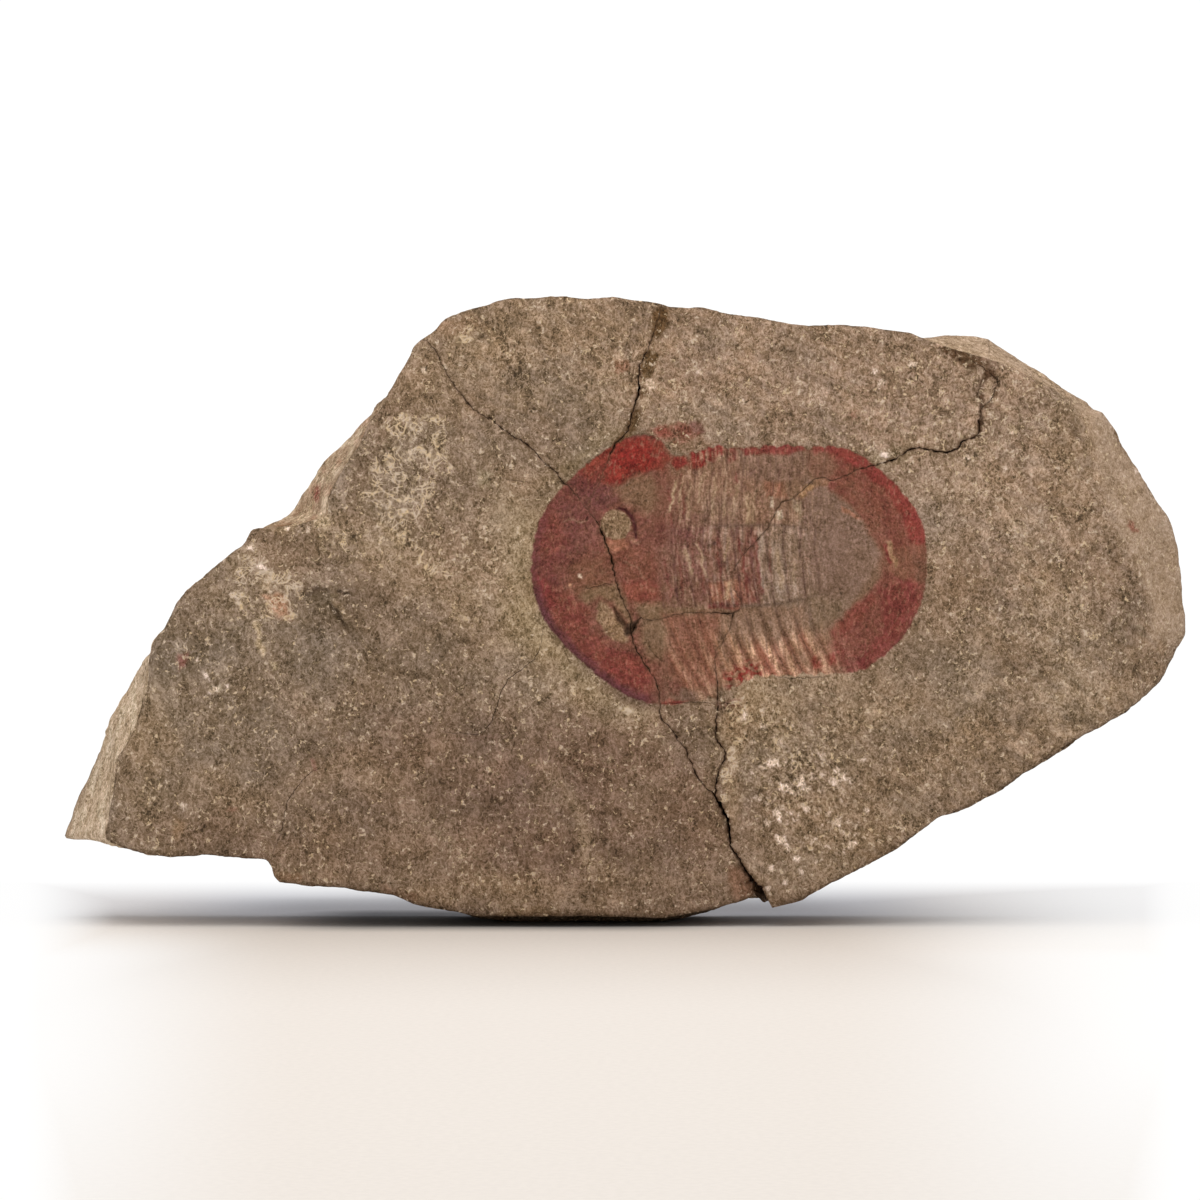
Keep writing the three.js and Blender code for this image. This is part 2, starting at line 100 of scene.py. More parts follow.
def fbm(x, y, z=0.0, octaves=3, seed=0, gain=0.5):
    total, amp, f = 0.0, 1.0, 1.0
    for o in range(octaves):
        total = total + amp * perlin(np.asarray(x) * f + 13.7 * o, np.asarray(y) * f - 7.9 * o, np.asarray(z) * f + 3.1 * o, seed + o)
        amp *= gain
        f *= 2.03
    return total


def smooth(a, b, v):
    t = np.clip((np.asarray(v, float) - a) / (b - a), 0, 1)
    return t * t * (3 - 2 * t)


def bell(v, width):
    return np.exp(-((np.asarray(v, float) / width) ** 2))


# ---------------------------------------------------------------- distances
def line_distance(u, v, pts, closed=False):
    """Distance to a line of points, and the share of the way along it."""
    pts = np.asarray(pts, float)
    if closed:
        pts = np.vstack([pts, pts[:1]])
    seg = np.hypot(*(pts[1:] - pts[:-1]).T)
    run = np.concatenate([[0], np.cumsum(seg)])
    best = np.full(u.shape, 1e9)
    at = np.zeros(u.shape)
    for i in range(len(pts) - 1):
        (ax, ay), (bx, by) = pts[i], pts[i + 1]
        dx, dy = bx - ax, by - ay
        t = np.clip(((u - ax) * dx + (v - ay) * dy) / max(dx * dx + dy * dy, 1e-12), 0, 1)
        d = (u - ax - t * dx) ** 2 + (v - ay - t * dy) ** 2
        hit = d < best
        best = np.where(hit, d, best)
        at = np.where(hit, run[i] + t * seg[i], at)
    return np.sqrt(best), at / run[-1]


def inside(u, v, pts):
    pts = np.asarray(pts, float)
    odd = np.zeros(u.shape, bool)
    for i in range(len(pts)):
        (ax, ay), (bx, by) = pts[i - 1], pts[i]
        if ay == by:
            continue
        cross = ((ay > v) != (by > v)) & (u < (bx - ax) * (v - ay) / (by - ay) + ax)
        odd ^= cross
    return odd


def signed(u, v, pts):
    """Distance to a closed outline, positive inside."""
    d, _ = line_distance(u, v, pts, True)
    return np.where(inside(u, v, pts), d, -d)


def patch(u, v, pts, soft=3.0):
    """1 inside an outline and 0 outside, with a soft edge. Points far outside cost nothing."""
    pts = np.asarray(pts, float)
    lo, hi = pts.min(0) - soft, pts.max(0) + soft
    near = (u > lo[0]) & (u < hi[0]) & (v > lo[1]) & (v < hi[1])
    out = np.zeros(u.shape)
    if near.any():
        out[near] = smooth(-soft, soft, signed(u[near], v[near], pts))
    return out


def near_line(u, v, pts, reach):
    """Distance and share along a line, for the points within reach of it; the others get a large distance."""
    pts = np.asarray(pts, float)
    lo, hi = pts.min(0) - reach, pts.max(0) + reach
    near = (u > lo[0]) & (u < hi[0]) & (v > lo[1]) & (v < hi[1])
    d, at = np.full(u.shape, 1e3), np.zeros(u.shape)
    if near.any():
        d[near], at[near] = line_distance(u[near], v[near], pts)
    return d, at


def side_of(u, v, pts):
    """Signed distance to an open line, positive to its right as it is walked (v runs down)."""
    pts = np.asarray(pts, float)
    best, sign = np.full(u.shape, 1e9), np.ones(u.shape)
    for i in range(len(pts) - 1):
        (ax, ay), (bx, by) = pts[i], pts[i + 1]
        dx, dy = bx - ax, by - ay
        t = np.clip(((u - ax) * dx + (v - ay) * dy) / (dx * dx + dy * dy), 0, 1)
        d = (u - ax - t * dx) ** 2 + (v - ay - t * dy) ** 2
        s = dx * (v - ay) - dy * (u - ax)
        hit = d < best
        best = np.where(hit, d, best)
        sign = np.where(hit, np.sign(s), sign)
    return np.sqrt(best) * sign


def rgb(r, g, b):
    """Linear colour from the 0 to 255 numbers of a display colour."""
    c = np.array([r, g, b], float) / 255
    return np.where(c <= 0.04045, c / 12.92, ((c + 0.055) / 1.055) ** 2.4)


# ---------------------------------------------------------------- lines
# Each row follows the slab's rim clockwise, seen from the front: front edge x, depth, z, widest edge x, depth, z and
# back edge x, depth, z.
RIM = [
    (-105.14, 1, 18.36, -116.97, 21, 16.37, -114.81, 26.5, 17.27), (-104.53, 1, 21.4, -115.51, 21, 19.71, -112.46, 26.39, 20.92),
    (-103.92, 1, 25.25, -113.63, 21, 24.71, -111.04, 26.28, 25.66), (-102.71, 1, 34.38, -109.67, 21, 33.26, -107.62, 26.18, 33.91),
    (-99.06, 1, 40.87, -105.69, 15, 42.22, -103.48, 26.1, 42.78), (-96.62, 1, 48.57, -101.76, 15, 49.67, -99.54, 26.04, 50.12),
    (-96.22, 1, 53.64, -98.49, 9, 53.91, -96.37, 26.01, 54.27), (-95.2, 1, 58.71, -94.7, 12, 58.78, -92.18, 26, 59.12),
    (-93.58, 1, 60.13, -92.66, 12, 60.25, -89.41, 26.02, 60.65), (-91.68, 0.4, 63.79, -90.75, 12, 63.87, -88.09, 26.06, 64.12),
    (-90.67, 0.4, 66.01, -90.05, 12, 66.06, -88.7, 26.13, 66.16), (-87.02, 0.4, 69.05, -86.35, 12, 69.09, -84.36, 26.21, 69.18),
    (-82.97, 0.4, 72.9, -82.53, 12, 72.91, -79.39, 26.31, 72.95), (-78.92, 0.4, 76.35, -78.5, 12, 76.34, -75.66, 26.42, 76.28),
    (-77.3, 0.4, 77.16, -76.49, 12, 77.14, -74.2, 26.54, 77.07), (-75.27, 0.4, 80.4, -74.54, 12, 80.35, -72.06, 26.65, 80.2),
    (-71.42, 0.4, 81.01, -72.74, 10, 82.03, -70.68, 26.76, 81.86), (-65.75, 0.4, 81.62, -69.59, 16, 83.41, -67.64, 26.85, 83.21),
    (-60.07, 0.4, 83.24, -68.14, 16, 85.48, -65.77, 26.92, 85.19), (-60.07, 0.4, 86.48, -66.06, 16, 89, -62.82, 26.97, 88.46),
    (-57.84, 0.4, 91.34, -61.92, 16, 94.8, -59.07, 27, 94.1), (-53.99, 0.4, 97.42, -56.74, 16, 100.39, -55.16, 27, 99.86),
    (-51.97, 0.4, 101.88, -50.97, 10, 105.04, -49.47, 26.97, 104.4), (-49.54, 0.4, 105.12, -50.89, 12, 106.38, -48.23, 26.92, 105.2),
    (-47.51, 0.4, 108.77, -46.89, 12, 108.46, -44.34, 26.85, 107.18), (-45.48, 0.4, 111.81, -44.9, 12, 111.48, -42.83, 26.75, 110.32),
    (-43.46, 0.4, 115.25, -43.01, 12, 114.97, -40.77, 26.65, 113.55), (-42.65, 0.4, 117.88, -42.23, 12, 117.6, -40.24, 26.54, 116.25),
    (-41.43, 0.4, 119.1, -40.82, 12, 118.67, -39.4, 26.42, 117.65), (-38.19, 0.4, 120.92, -37.63, 12, 120.49, -35.93, 26.31, 119.16),
    (-36.37, 0.4, 123.15, -35.6, 12, 122.5, -33.15, 26.21, 120.43), (-31.3, 0.4, 124.77, -30.77, 12, 124.27, -28.51, 26.13, 122.1),
    (-27.25, 0.4, 126.19, -26.96, 12, 125.89, -25.62, 26.06, 124.45), (-23.2, 0.4, 127.41, -22.84, 12, 126.98, -21.87, 26.02, 125.83),
    (-16.11, 0.4, 127.61, -15.86, 12, 127.26, -14.34, 26, 125.1), (-9.01, 0.4, 127.41, -8.69, 12, 126.85, -7.31, 26.01, 124.43),
    (-1.92, 0.4, 127.61, -1.53, 12, 126.71, -0.57, 26.04, 124.51), (5.17, 0.4, 126.39, 5.39, 12, 125.68, 6.21, 26.1, 123.05),
    (9.22, 0.4, 125.58, 9.41, 12, 124.8, 10.03, 26.18, 122.17), (14.29, 0.4, 125.38, 14.37, 12, 124.81, 14.57, 26.28, 123.3),
    (20.37, 0.4, 124.57, 20.38, 12, 124.03, 20.41, 26.39, 122.14), (27.46, 0.4, 123.15, 27.38, 12, 122.56, 27, 26.5, 119.51),
    (35.56, 0.4, 122.14, 35.38, 12, 121.52, 34.45, 26.62, 118.39), (49.74, 0.4, 121.53, 49.35, 12, 120.87, 48.2, 26.72, 118.96),
    (57.85, 0.4, 120.32, 57.21, 12, 119.5, 56.12, 26.82, 118.14), (63.93, 0.4, 117.88, 65.9, 10, 120.65, 64.29, 26.9, 118.97),
    (69.2, 0.4, 116.26, 72.6, 15, 120.82, 70.63, 26.96, 119.03), (73.65, 0.4, 115.05, 74.67, 15, 120.2, 72.88, 26.99, 118.66),
    (78.92, 0.4, 113.22, 79.84, 15, 117.31, 77.58, 27, 115.65), (84.59, 0.4, 110.19, 86.05, 15, 113.58, 83.52, 26.98, 112.05),
    (87.98, 1.5, 108.43, 90.18, 15, 110.69, 88.65, 26.94, 109.88), (93.91, 3.26, 105.28, 96.53, 16, 107.02, 95.06, 26.87, 106.38),
    (97.47, 3.95, 104.71, 96.66, 16, 104.38, 94.02, 26.78, 103.33), (99.37, 4.42, 101.88, 98.94, 16, 101.73, 95.81, 26.68, 100.62),
    (101.07, 4.84, 97.82, 100.62, 16, 97.69, 98.27, 26.57, 97), (104.25, 5.63, 93.37, 103.64, 16, 93.23, 101.73, 26.46, 92.79),
    (106.8, 6.26, 89.3, 106.25, 16, 89.21, 104.25, 26.35, 88.86), (109.56, 6.95, 85.65, 108.68, 16, 85.53, 106.21, 26.24, 85.21),
    (111.7, 7.47, 82.59, 110.72, 16, 82.5, 108.45, 26.15, 82.29), (113.19, 7.84, 77.48, 112.61, 16, 77.46, 109.83, 26.08, 77.36),
    (114.04, 8, 72.36, 113.42, 16, 72.37, 110.26, 26.03, 72.44), (114.45, 8, 66.22, 114.04, 16, 66.25, 111.94, 26, 66.44),
    (115.06, 8, 63.15, 114.62, 16, 63.2, 113.34, 26, 63.35), (114.65, 8, 58.64, 113.83, 16, 58.78, 111.29, 26.03, 59.2),
    (112.76, 7.74, 55.57, 111.99, 16, 55.73, 108.77, 26.08, 56.39), (110.84, 7.26, 51.9, 110.03, 16, 52.1, 107.5, 26.16, 52.73),
    (109.56, 6.95, 49.45, 108.74, 16, 49.68, 106.68, 26.25, 50.26), (107.44, 6.42, 47.42, 107.02, 16, 47.55, 104.85, 26.35, 48.23),
    (102.59, 1.5, 44.1, 102.17, 12, 44.25, 100.03, 26.47, 45.05), (98.54, 1.5, 41.66, 98.02, 12, 41.88, 96.05, 26.58, 42.71),
    (91.43, 1.5, 37.81, 90.95, 12, 38.06, 88.56, 26.69, 39.3), (84.19, 0.4, 32.99, 83.36, 12, 33.53, 80.61, 26.79, 35.34),
    (76.09, 0.4, 27.92, 75.42, 12, 28.48, 73.56, 26.88, 30.06), (71.02, 0.4, 25.09, 70.58, 12, 25.52, 69.72, 26.94, 26.38),
    (63.93, 0.4, 22.05, 63.52, 12, 22.55, 62.1, 26.98, 24.29), (58.86, 0.4, 18.6, 58.58, 12, 19.02, 56.81, 27, 21.66),
    (53.8, 0.4, 15.16, 53.57, 12, 15.57, 52.27, 26.99, 17.94), (45.69, 0.4, 10.7, 45.4, 12, 11.47, 44.58, 26.95, 13.6),
    (35.56, 0.4, 5.43, 35.42, 12, 6.14, 34.91, 26.89, 8.6), (29.89, 0.4, 4.01, 29.77, 12, 4.96, 29.53, 26.81, 6.98),
    (26.65, 0.4, 6.24, 26.59, 12, 7.01, 26.44, 26.72, 8.96), (23.2, 0.4, 5.03, 23.19, 12, 5.47, 23.12, 26.61, 8.01),
    (18.34, 0.4, 3.61, 18.36, 5, 0, 18.51, 24.5, 0), (11.86, 0.4, 2.39, 11.91, 5, 0, 12.27, 24.5, 0),
    (7.4, 0.4, 1.79, 7.52, 5, 0, 7.8, 24.5, 0), (-2.94, 0.4, 1.99, -2.61, 5, 0, -2.01, 24.5, 0),
    (-9.42, 0.4, 2.29, -9.12, 5, 0, -7.94, 24.5, 0), (-15.9, 0.4, 2.19, -15.57, 5, 0, -14.32, 24.5, 0),
    (-22.39, 0.4, 1.99, -22.07, 5, 0, -20.84, 24.5, 0), (-29.48, 0.4, 2.19, -29.16, 5, 0, -27.61, 24.5, 0),
    (-35.96, 0.4, 3.41, -35.59, 5, 0, -34.2, 24.5, 0), (-42.45, 0.4, 4.62, -41.95, 12, 5.16, -40.77, 26.06, 6.45),
    (-46.29, 0.4, 6.45, -45.77, 12, 6.97, -44.12, 26.13, 8.63), (-49.54, 0.4, 6.73, -48.8, 12, 7.43, -46.4, 26.22, 9.72),
    (-55.62, 0.4, 7.66, -55.13, 12, 8.08, -52.89, 26.32, 10.02), (-63.72, 0.4, 8.47, -63.38, 12, 8.74, -61.95, 26.43, 9.84),
    (-69.8, 0.4, 9.08, -69.36, 12, 9.4, -68.11, 26.54, 10.28), (-71.22, 0.4, 10.09, -70.86, 12, 10.34, -68.58, 26.66, 11.92),
    (-71.62, 0.4, 12.32, -71.01, 12, 12.73, -68.76, 26.76, 14.23), (-72.63, 0.4, 13.54, -71.82, 12, 14.06, -69.8, 26.85, 15.37),
    (-77.5, 0.4, 13.94, -76.88, 12, 14.32, -74.46, 26.92, 15.79), (-84.99, 0.4, 14.55, -84.29, 12, 14.95, -82.07, 26.97, 16.2),
    (-92.09, 0.4, 13.94, -91.65, 12, 14.17, -90.32, 27, 14.88), (-97.03, 1, 14.71, -96.57, 12, 14.94, -94.72, 27, 15.87),
    (-102.3, 1, 16.33, -103.82, 9, 15.56, -100.91, 26.97, 16.92), (-103.92, 1, 17.14, -108.17, 15, 16.37, -105.31, 26.92, 17.65),
    (-104.73, 1, 17.35, -111.54, 21, 16.79, -109.64, 26.84, 17.61), (-104.94, 1, 17.75, -115.92, 21, 15.74, -114.31, 26.75, 16.43),
]

# The joints between the fragments, as points (u, v).
A = [(417, 331), (425, 339), (436, 351), (441, 363), (450, 379), (461, 394), (473, 409), (482, 416), (490, 418), (505, 431),
     (522, 441), (532, 449), (541, 459), (553, 470), (564, 483), (570, 488), (575, 494), (586, 508), (592, 516), (598, 523),
     (603, 535), (608, 548), (612, 561), (614, 573), (617, 584), (621, 597), (627, 610), (631, 620), (631, 634), (635, 647),
     (641, 658), (648, 668), (655, 679), (659, 690), (660, 703), (659, 712), (663, 720), (671, 729), (678, 740), (686, 749),
     (690, 761), (694, 770), (699, 779), (707, 789), (715, 796)]
B = [(666, 295), (662, 307), (655, 328), (650, 345), (643, 359), (639, 368), (639, 386), (637, 399), (632, 414), (629, 428),
     (626, 433), (616, 443), (610, 454), (607, 463), (600, 480), (592, 497), (586, 508)]
C = [(988, 325), (985, 339), (990, 359), (990, 372), (980, 383), (978, 394), (981, 407), (980, 418), (979, 433), (975, 438),
     (964, 440), (959, 448), (949, 452), (936, 451), (918, 448), (910, 449), (899, 457), (886, 462), (873, 466), (856, 470),
     (843, 477), (831, 481), (822, 477), (814, 480), (801, 492), (790, 500), (780, 503), (773, 518), (765, 531), (755, 543),
     (743, 554), (736, 566), (731, 573), (731, 580), (735, 590), (741, 601)]
D = [(733, 613), (731, 625), (727, 634), (721, 644), (715, 651), (715, 658), (715, 669), (718, 682), (717, 695), (718, 709),
     (716, 721), (716, 731), (716, 739), (721, 746), (726, 752), (725, 759), (720, 767), (718, 775), (716, 785), (715, 796)]
E = [(631, 634), (637, 623), (640, 617), (647, 620), (659, 620), (672, 615), (684, 613), (700, 613), (717, 613), (733, 613),
     (742, 608), (741, 601)]
J = [(715, 796), (719, 803), (723, 810), (726, 816), (729, 823), (730, 835), (730, 845), (734, 851), (740, 859), (744, 867),
     (749, 875), (754, 883), (759, 891), (763, 899), (770, 915)]
# How wide each joint gapes, in drawing units, at places on it: (u, v, width).
GAPES = [(440, 360, 0.5), (480, 415, 0.6), (530, 447, 0.7), (565, 483, 0.7), (586, 508, 0.25), (578, 498, 0.35), (598, 522, 0.7), (604, 538, 0.9),
         (609, 551, 1.0), (616, 580, 0.7), (627, 610, 0.5), (632, 630, 0.8), (645, 663, 0.6), (660, 700, 0.5), (664, 722, 0.7),
         (690, 762, 0.6), (705, 787, 0.8), (666, 296, 0.3), (662, 308, 0.4), (650, 345, 0.6), (639, 368, 0.8), (638, 391, 1.5), (634, 408, 1.0),
         (627, 431, 0.9), (612, 450, 0.8), (605, 468, 0.25), (598, 485, 0.1), (591, 498, 0.1), (987, 336, 0.05), (989, 355, 0.05), (990, 370, 0.1), (979, 390, 0.35), (980, 408, 0.1), (980, 422, 1.1), (962, 443, 1.2),
         (945, 452, 1.2), (915, 449, 1.2), (899, 457, 1.0), (870, 467, 0.6), (822, 478, 0.5), (845, 476, 0.5), (780, 503, 0.5), (755, 543, 0.45),
         (737, 566, 0.4), (733, 577, 0.1), (735, 590, 0.3), (741, 603, 0.35), (727, 613, 0.9), (700, 613, 0.3), (660, 619, 0.3), (639, 620, 0.5),
         (731, 625, 0.2), (716, 655, 0.25), (717, 690, 0.6), (717, 720, 0.7), (724, 750, 0.8), (718, 775, 1.0), (715, 792, 0.8),
         (716, 798, 1.5), (720, 805, 3.8), (725, 815, 2.2), (730, 832, 1.4), (731, 846, 1.0), (740, 860, 1.0), (748, 873, 1.6),
         (754, 883, 4.6), (760, 893, 7.4), (764, 901, 8.6), (770, 915, 9.0)]

# The trilobite's outline, and the hairlines that stay in the surface.
SHELL = [(531, 570), (533, 545), (538, 523), (549, 503), (564, 485), (580, 470), (597, 456), (611, 447), (626, 438), (640, 434),
         (652, 436), (661, 441), (667, 449), (673, 456), (683, 455), (692, 451), (701, 450), (709, 446), (717, 445), (735, 447), (752, 447), (772, 445),
         (793, 444), (808, 448), (823, 445), (835, 446), (846, 449), (858, 454), (870, 462), (880, 470), (890, 479), (899, 488),
         (908, 499), (915, 509), (920, 519), (924, 530), (926, 543), (927, 558), (927, 573), (925, 588), (922, 600), (917, 613),
         (911, 625), (904, 636), (896, 645), (887, 653), (877, 661), (866, 668), (856, 672), (846, 673), (826, 674), (793, 676),
         (770, 676), (755, 678), (742, 683), (732, 689), (717, 696), (702, 701), (688, 704), (673, 705), (658, 704), (646, 702),
         (635, 699), (626, 695), (617, 690), (606, 682), (594, 673), (581, 662), (570, 651), (561, 642), (553, 632), (546, 623),
         (541, 614), (537, 604), (534, 594), (532, 582)]
HAIRLINES = [
    ([(543, 629), (541, 642), (540, 647), (536, 658), (530, 663), (521, 670), (509, 678), (505, 685), (500, 694), (498, 703),
      (495, 711), (491, 722), (488, 727), (482, 732), (477, 735), (469, 735), (456, 733), (447, 732)], 0.45),
    ([(434, 751), (418, 755), (403, 758), (388, 759), (374, 771)], 0.12),
    ([(326, 756), (321, 767), (307, 775), (296, 788), (288, 802), (283, 823), (279, 838), (273, 853)], 0.28),
    ([(580, 591), (586, 589), (593, 587), (604, 585), (614, 585)], 0.25),
    ([(664, 704), (690, 702), (706, 703), (715, 703)], 0.25), ([(720, 701), (730, 703), (739, 703)], 0.3),
    ([(733, 613.5), (741, 617), (737, 623)], 0.1),
    ([(998, 374), (997, 383), (994, 392), (990, 401), (985, 406), (981, 408)], 0.55),
    ([(974, 362), (983, 368), (988, 372), (993, 376), (998, 382)], 0.5),
    ([(500, 478), (520, 481), (535, 484)], 0.15),
    ([(648, 640), (652, 652), (660, 660), (671, 664)], 0.15), ([(668, 636), (672, 650), (682, 660)], 0.12),
    ([(770, 676.5), (800, 678), (828, 677)], 0.2)]

# ---------------------------------------------------------------- surface
# Furrows between the ribs along the row v = 568, and the axis's middle line and half width along u.
FURROWS = [643, 659, 675, 691, 706.5, 722, 738, 754, 770, 786.5, 803, 818, 833, 846, 858, 868]
BRIGHT_RED = [(575, 472), (586, 463), (602, 448), (619, 441), (637, 437), (650, 438), (660, 442), (666, 450), (668, 460), (660, 468),
              (648, 471), (640, 472), (632, 476), (624, 482), (615, 485), (607, 485), (598, 480), (590, 482), (582, 478)]
EYE_DARK = [(619, 508.5), (625, 510), (630, 514.5), (633, 520), (635, 527), (635.5, 533), (636, 538)]
EYE_LOW = [(596, 607), (600, 602), (607, 604), (613, 611), (620, 622), (627, 634), (628, 641), (622, 643), (613, 639), (605, 631),
           (598, 621)]
PIT = [(613, 606), (617, 611), (623, 620), (629, 629), (637, 620), (639, 621), (636, 628), (632, 635), (627, 636), (622, 627), (616, 616)]
TILT = [(1040, 366), (1060, 400), (1079, 424), (1090, 441), (1096, 467), (1100, 485), (1110, 500), (1116, 515), (1122, 560), (1122, 600),
        (1118, 640), (1105, 690), (1085, 740)]
LEFT_LEDGE = [(262, 606), (278, 592), (296, 591), (317, 589), (329, 590), (328, 596), (334, 608), (345, 623), (358, 642)]
LIGHT_LEDGE = [(358, 642), (372, 610), (393, 592), (410, 603), (427, 613), (455, 634), (480, 648), (503, 656), (533, 662)]


def ribs(u, v):
    """Rib number with its share, and the half width of the axis with the distance from its middle."""
    down, up = np.clip(v - 568, 0, None), np.clip(568 - v, 0, None)
    shift = 31 * (down / 101) ** 1.9 + 6 * smooth(50, 110, up) - 4 * bell(v - 543, 20)
    phase = np.interp(u - shift + 1.3 * perlin(u / 15, v / 34, 0, 71), FURROWS, np.arange(len(FURROWS)))
    middle = 568.5 - 6.5 * (u - 660) / 200
    half = 39 - 20 * smooth(760, 890, u)
    return phase, phase - np.floor(phase), (v - middle) / half


def shell_fields(u, v):
    """What both the relief and the colour of the trilobite use."""
    f = {}
    wu = u + 1.5 * perlin(u / 7, v / 7, 0, 31) + 0.8 * perlin(u / 2.7, v / 2.7, 0, 32)
    wv = v + 1.5 * perlin(u / 7, v / 7, 0, 33) + 0.8 * perlin(u / 2.7, v / 2.7, 0, 34)
    f["wu"], f["wv"] = wu, wv
    phase, share, across = ribs(u, v)
    f["phase"], f["share"], f["across"] = phase, share, across
    # the tips of the ribs make the long sides uneven
    side = smooth(668, 690, u) * (1 - smooth(825, 845, u))
    notch = side * (2.6 * bell(np.minimum(share, 1 - share), 0.2) + 1.5 * perlin(phase * 2.2, 0.5, 0, 12))
    f["t"] = signed(wu, wv, SHELL) - notch
    f["in"] = smooth(-0.9, 0.9, f["t"])
    f["rib"] = smooth(655, 680, u + 0.14 * (v - 568)) * (1 - smooth(9.6, 12.8, phase))
    low = smooth(0.95, 1.1, across)
    high = smooth(0.95, 1.1, -across)
    f["low"], f["high"], f["axis"] = low, high, (1 - low) * (1 - high)
    f["furrow"] = bell(np.minimum(share, 1 - share), 0.13 + 0.05 * f["axis"])
    f["eye"] = smooth(-1.2, 1.2, 15.0 + 2.4 * perlin(u / 5, v / 5, 0, 41) - np.hypot(u - 616, v - 525))
    f["eye_low"] = patch(wu, wv, EYE_LOW, 1.6)
    d, at = near_line(u, v, EYE_DARK, 8)
    f["eye_dark"] = bell(d, 1.1 + 0.9 * np.sin(at * 3.1))
    f["pit"] = patch(u, v, PIT, 1.3)
    return f


def front_height(u, v, f):
    """Height of the front face above the bedding plane, in mm."""
    x, z = to_x(u), to_z(v)
    h = 0.42 * fbm(x / 62, z / 62, 0, 2, 101) + 0.20 * fbm(x / 17, z / 17, 0, 2, 105)
    h += 0.30 * bell(u - 720, 260) * bell(v - 560, 170)
    stone = 1 - f["in"]
    rough = 0.75 + 0.9 * smooth(0.05, 0.45, perlin(x / 24, z / 24, 0, 109))
    # whitish crusts on the left, and grains
    crust = patch(f["wu"], f["wv"], [(352, 520), (365, 470), (392, 425), (430, 412), (462, 425), (452, 470), (436, 500), (420, 524)], 14)
    crust2 = patch(f["wu"], f["wv"], [(224, 600), (232, 560), (262, 545), (300, 505), (330, 500), (345, 560), (300, 590), (285, 625), (245, 625)], 14)
    rough = rough + 0.9 * crust + 0.5 * crust2
    n1 = fbm(x / 3.1, z / 2.6, 0, 3, 111)
    n2 = fbm(x / 0.95, z / 0.8, 0, 2, 117)
    h += (0.15 * n1 + 0.15 * n2) * rough * (0.25 + 0.75 * stone)
    # thin flakes of bedding stand on one another
    level = perlin(x / 21 + 0.15 * n1, z / 13, 0, 121) + 0.35 * perlin(x / 6, z / 5, 0, 123)
    for k, edge in enumerate((-0.32, -0.12, 0.1, 0.3)):
        h += stone * 0.10 * smooth(edge, edge + 0.035, level)
    # the flake scar on the left, the brighter step below the crusts and the slope past the right rim's tilt
    near = (u > 200) & (u < 600) & (v > 520) & (v < 720)
    if near.any():
        uu, vv = f["wu"][near], f["wv"][near]
        side = side_of(uu, vv, LEFT_LEDGE)
        h[near] -= 1.0 * smooth(-0.8, 1.2, side) * (1 - smooth(6, 48, side)) * smooth(280, 306, uu) * (1 - smooth(350, 372, uu))
        side = side_of(uu, vv, LIGHT_LEDGE)
        h[near] -= 0.40 * smooth(-2, 3, side) * (1 - smooth(8, 90, side)) * smooth(360, 385, uu) * (1 - smooth(500, 540, uu))
    # shallow ridges that run beside the right rim
    wave = np.sin((u + 0.12 * (v - 560) + 6 * perlin(u / 60, v / 60, 0, 131)) / 8.5)
    h += 0.10 * smooth(1085, 1130, u) * wave * stone
    # ---- the trilobite
    t, across, phase, share = f["t"], f["across"], f["phase"], f["share"]
    edge = 0.26 + 0.16 * smooth(560, 640, v) * (1 - smooth(640, 700, u))
    body = edge * smooth(-1.2, 2.5, t) + 0.26 * smooth(1, 22, t) + 0.55 * smooth(10, 80, t)
    body += (0.07 * n1 + 0.05 * n2) * f["in"]
    arch = np.clip(1 - across ** 2, 0, 1) ** 0.75
    length = smooth(640, 690, u) * (1 - smooth(835, 882, u))
    body += (0.52 * arch - 0.10 * bell(np.abs(across) - 1.04, 0.11)) * length
    head = np.clip(1 - ((u - 620) / 44) ** 2 - ((v - 566) / 36) ** 2, 0, 1)
    body += 0.30 * np.sqrt(head) * (1 - length)
    # ribs: a round back with a sharp furrow before it, and a fine line along each side rib
    back = np.sin(np.pi * np.clip(share, 0, 1)) ** 0.8
    size = f["rib"] * (0.20 * f["axis"] + 0.26 * f["low"] * smooth(1.0, 1.5, across) * (1 - 0.5 * smooth(9, 11, phase)) + 0.15 * f["high"]) * (0.85 + 0.6 * perlin(phase * 0.7, v / 60, 0, 142))
    body += size * (back - 0.55) - 0.16 * f["rib"] * f["furrow"] * (0.6 + 0.4 * f["low"])
    body -= f["rib"] * (f["low"] + 0.6 * f["high"]) * 0.07 * bell(share - 0.52, 0.09)
    body += 0.05 * f["in"] * fbm(phase * 1.7, v / 26, 0, 2, 141) * f["rib"]
    tail = smooth(11.5, 12.5, phase) * smooth(800, 835, u)
    body -= 0.10 * tail * patch(u, v, [(815, 480), (835, 492), (877, 560), (830, 632), (806, 640), (800, 520)], 3)
    body += 0.22 * f["eye"] * (1 + 0.5 * fbm(x / 0.9, z / 0.9, 0, 2, 151)) - 0.40 * f["eye_dark"]
    body += 0.10 * f["eye_low"] * (1 + 1.6 * fbm(x / 0.9, z / 0.9, 0, 2, 153)) - 0.75 * f["pit"]
    body -= 0.28 * patch(f["wu"], f["wv"], [(706, 584), (744, 580), (748, 590), (742, 603), (712, 602)], 1.2) * 0.5
    body += 0.16 * patch(u, v, [(880, 542), (889, 541), (893, 552), (898, 566), (893, 570), (886, 556)], 1.2)
    h += body
    # missing skin: the worn upper front corner and the chips along the joints
    h += 0.10 * patch(f["wu"], f["wv"], [(650, 430), (668, 424), (700, 420), (704, 436), (690, 450), (668, 450)], 4)
    return h


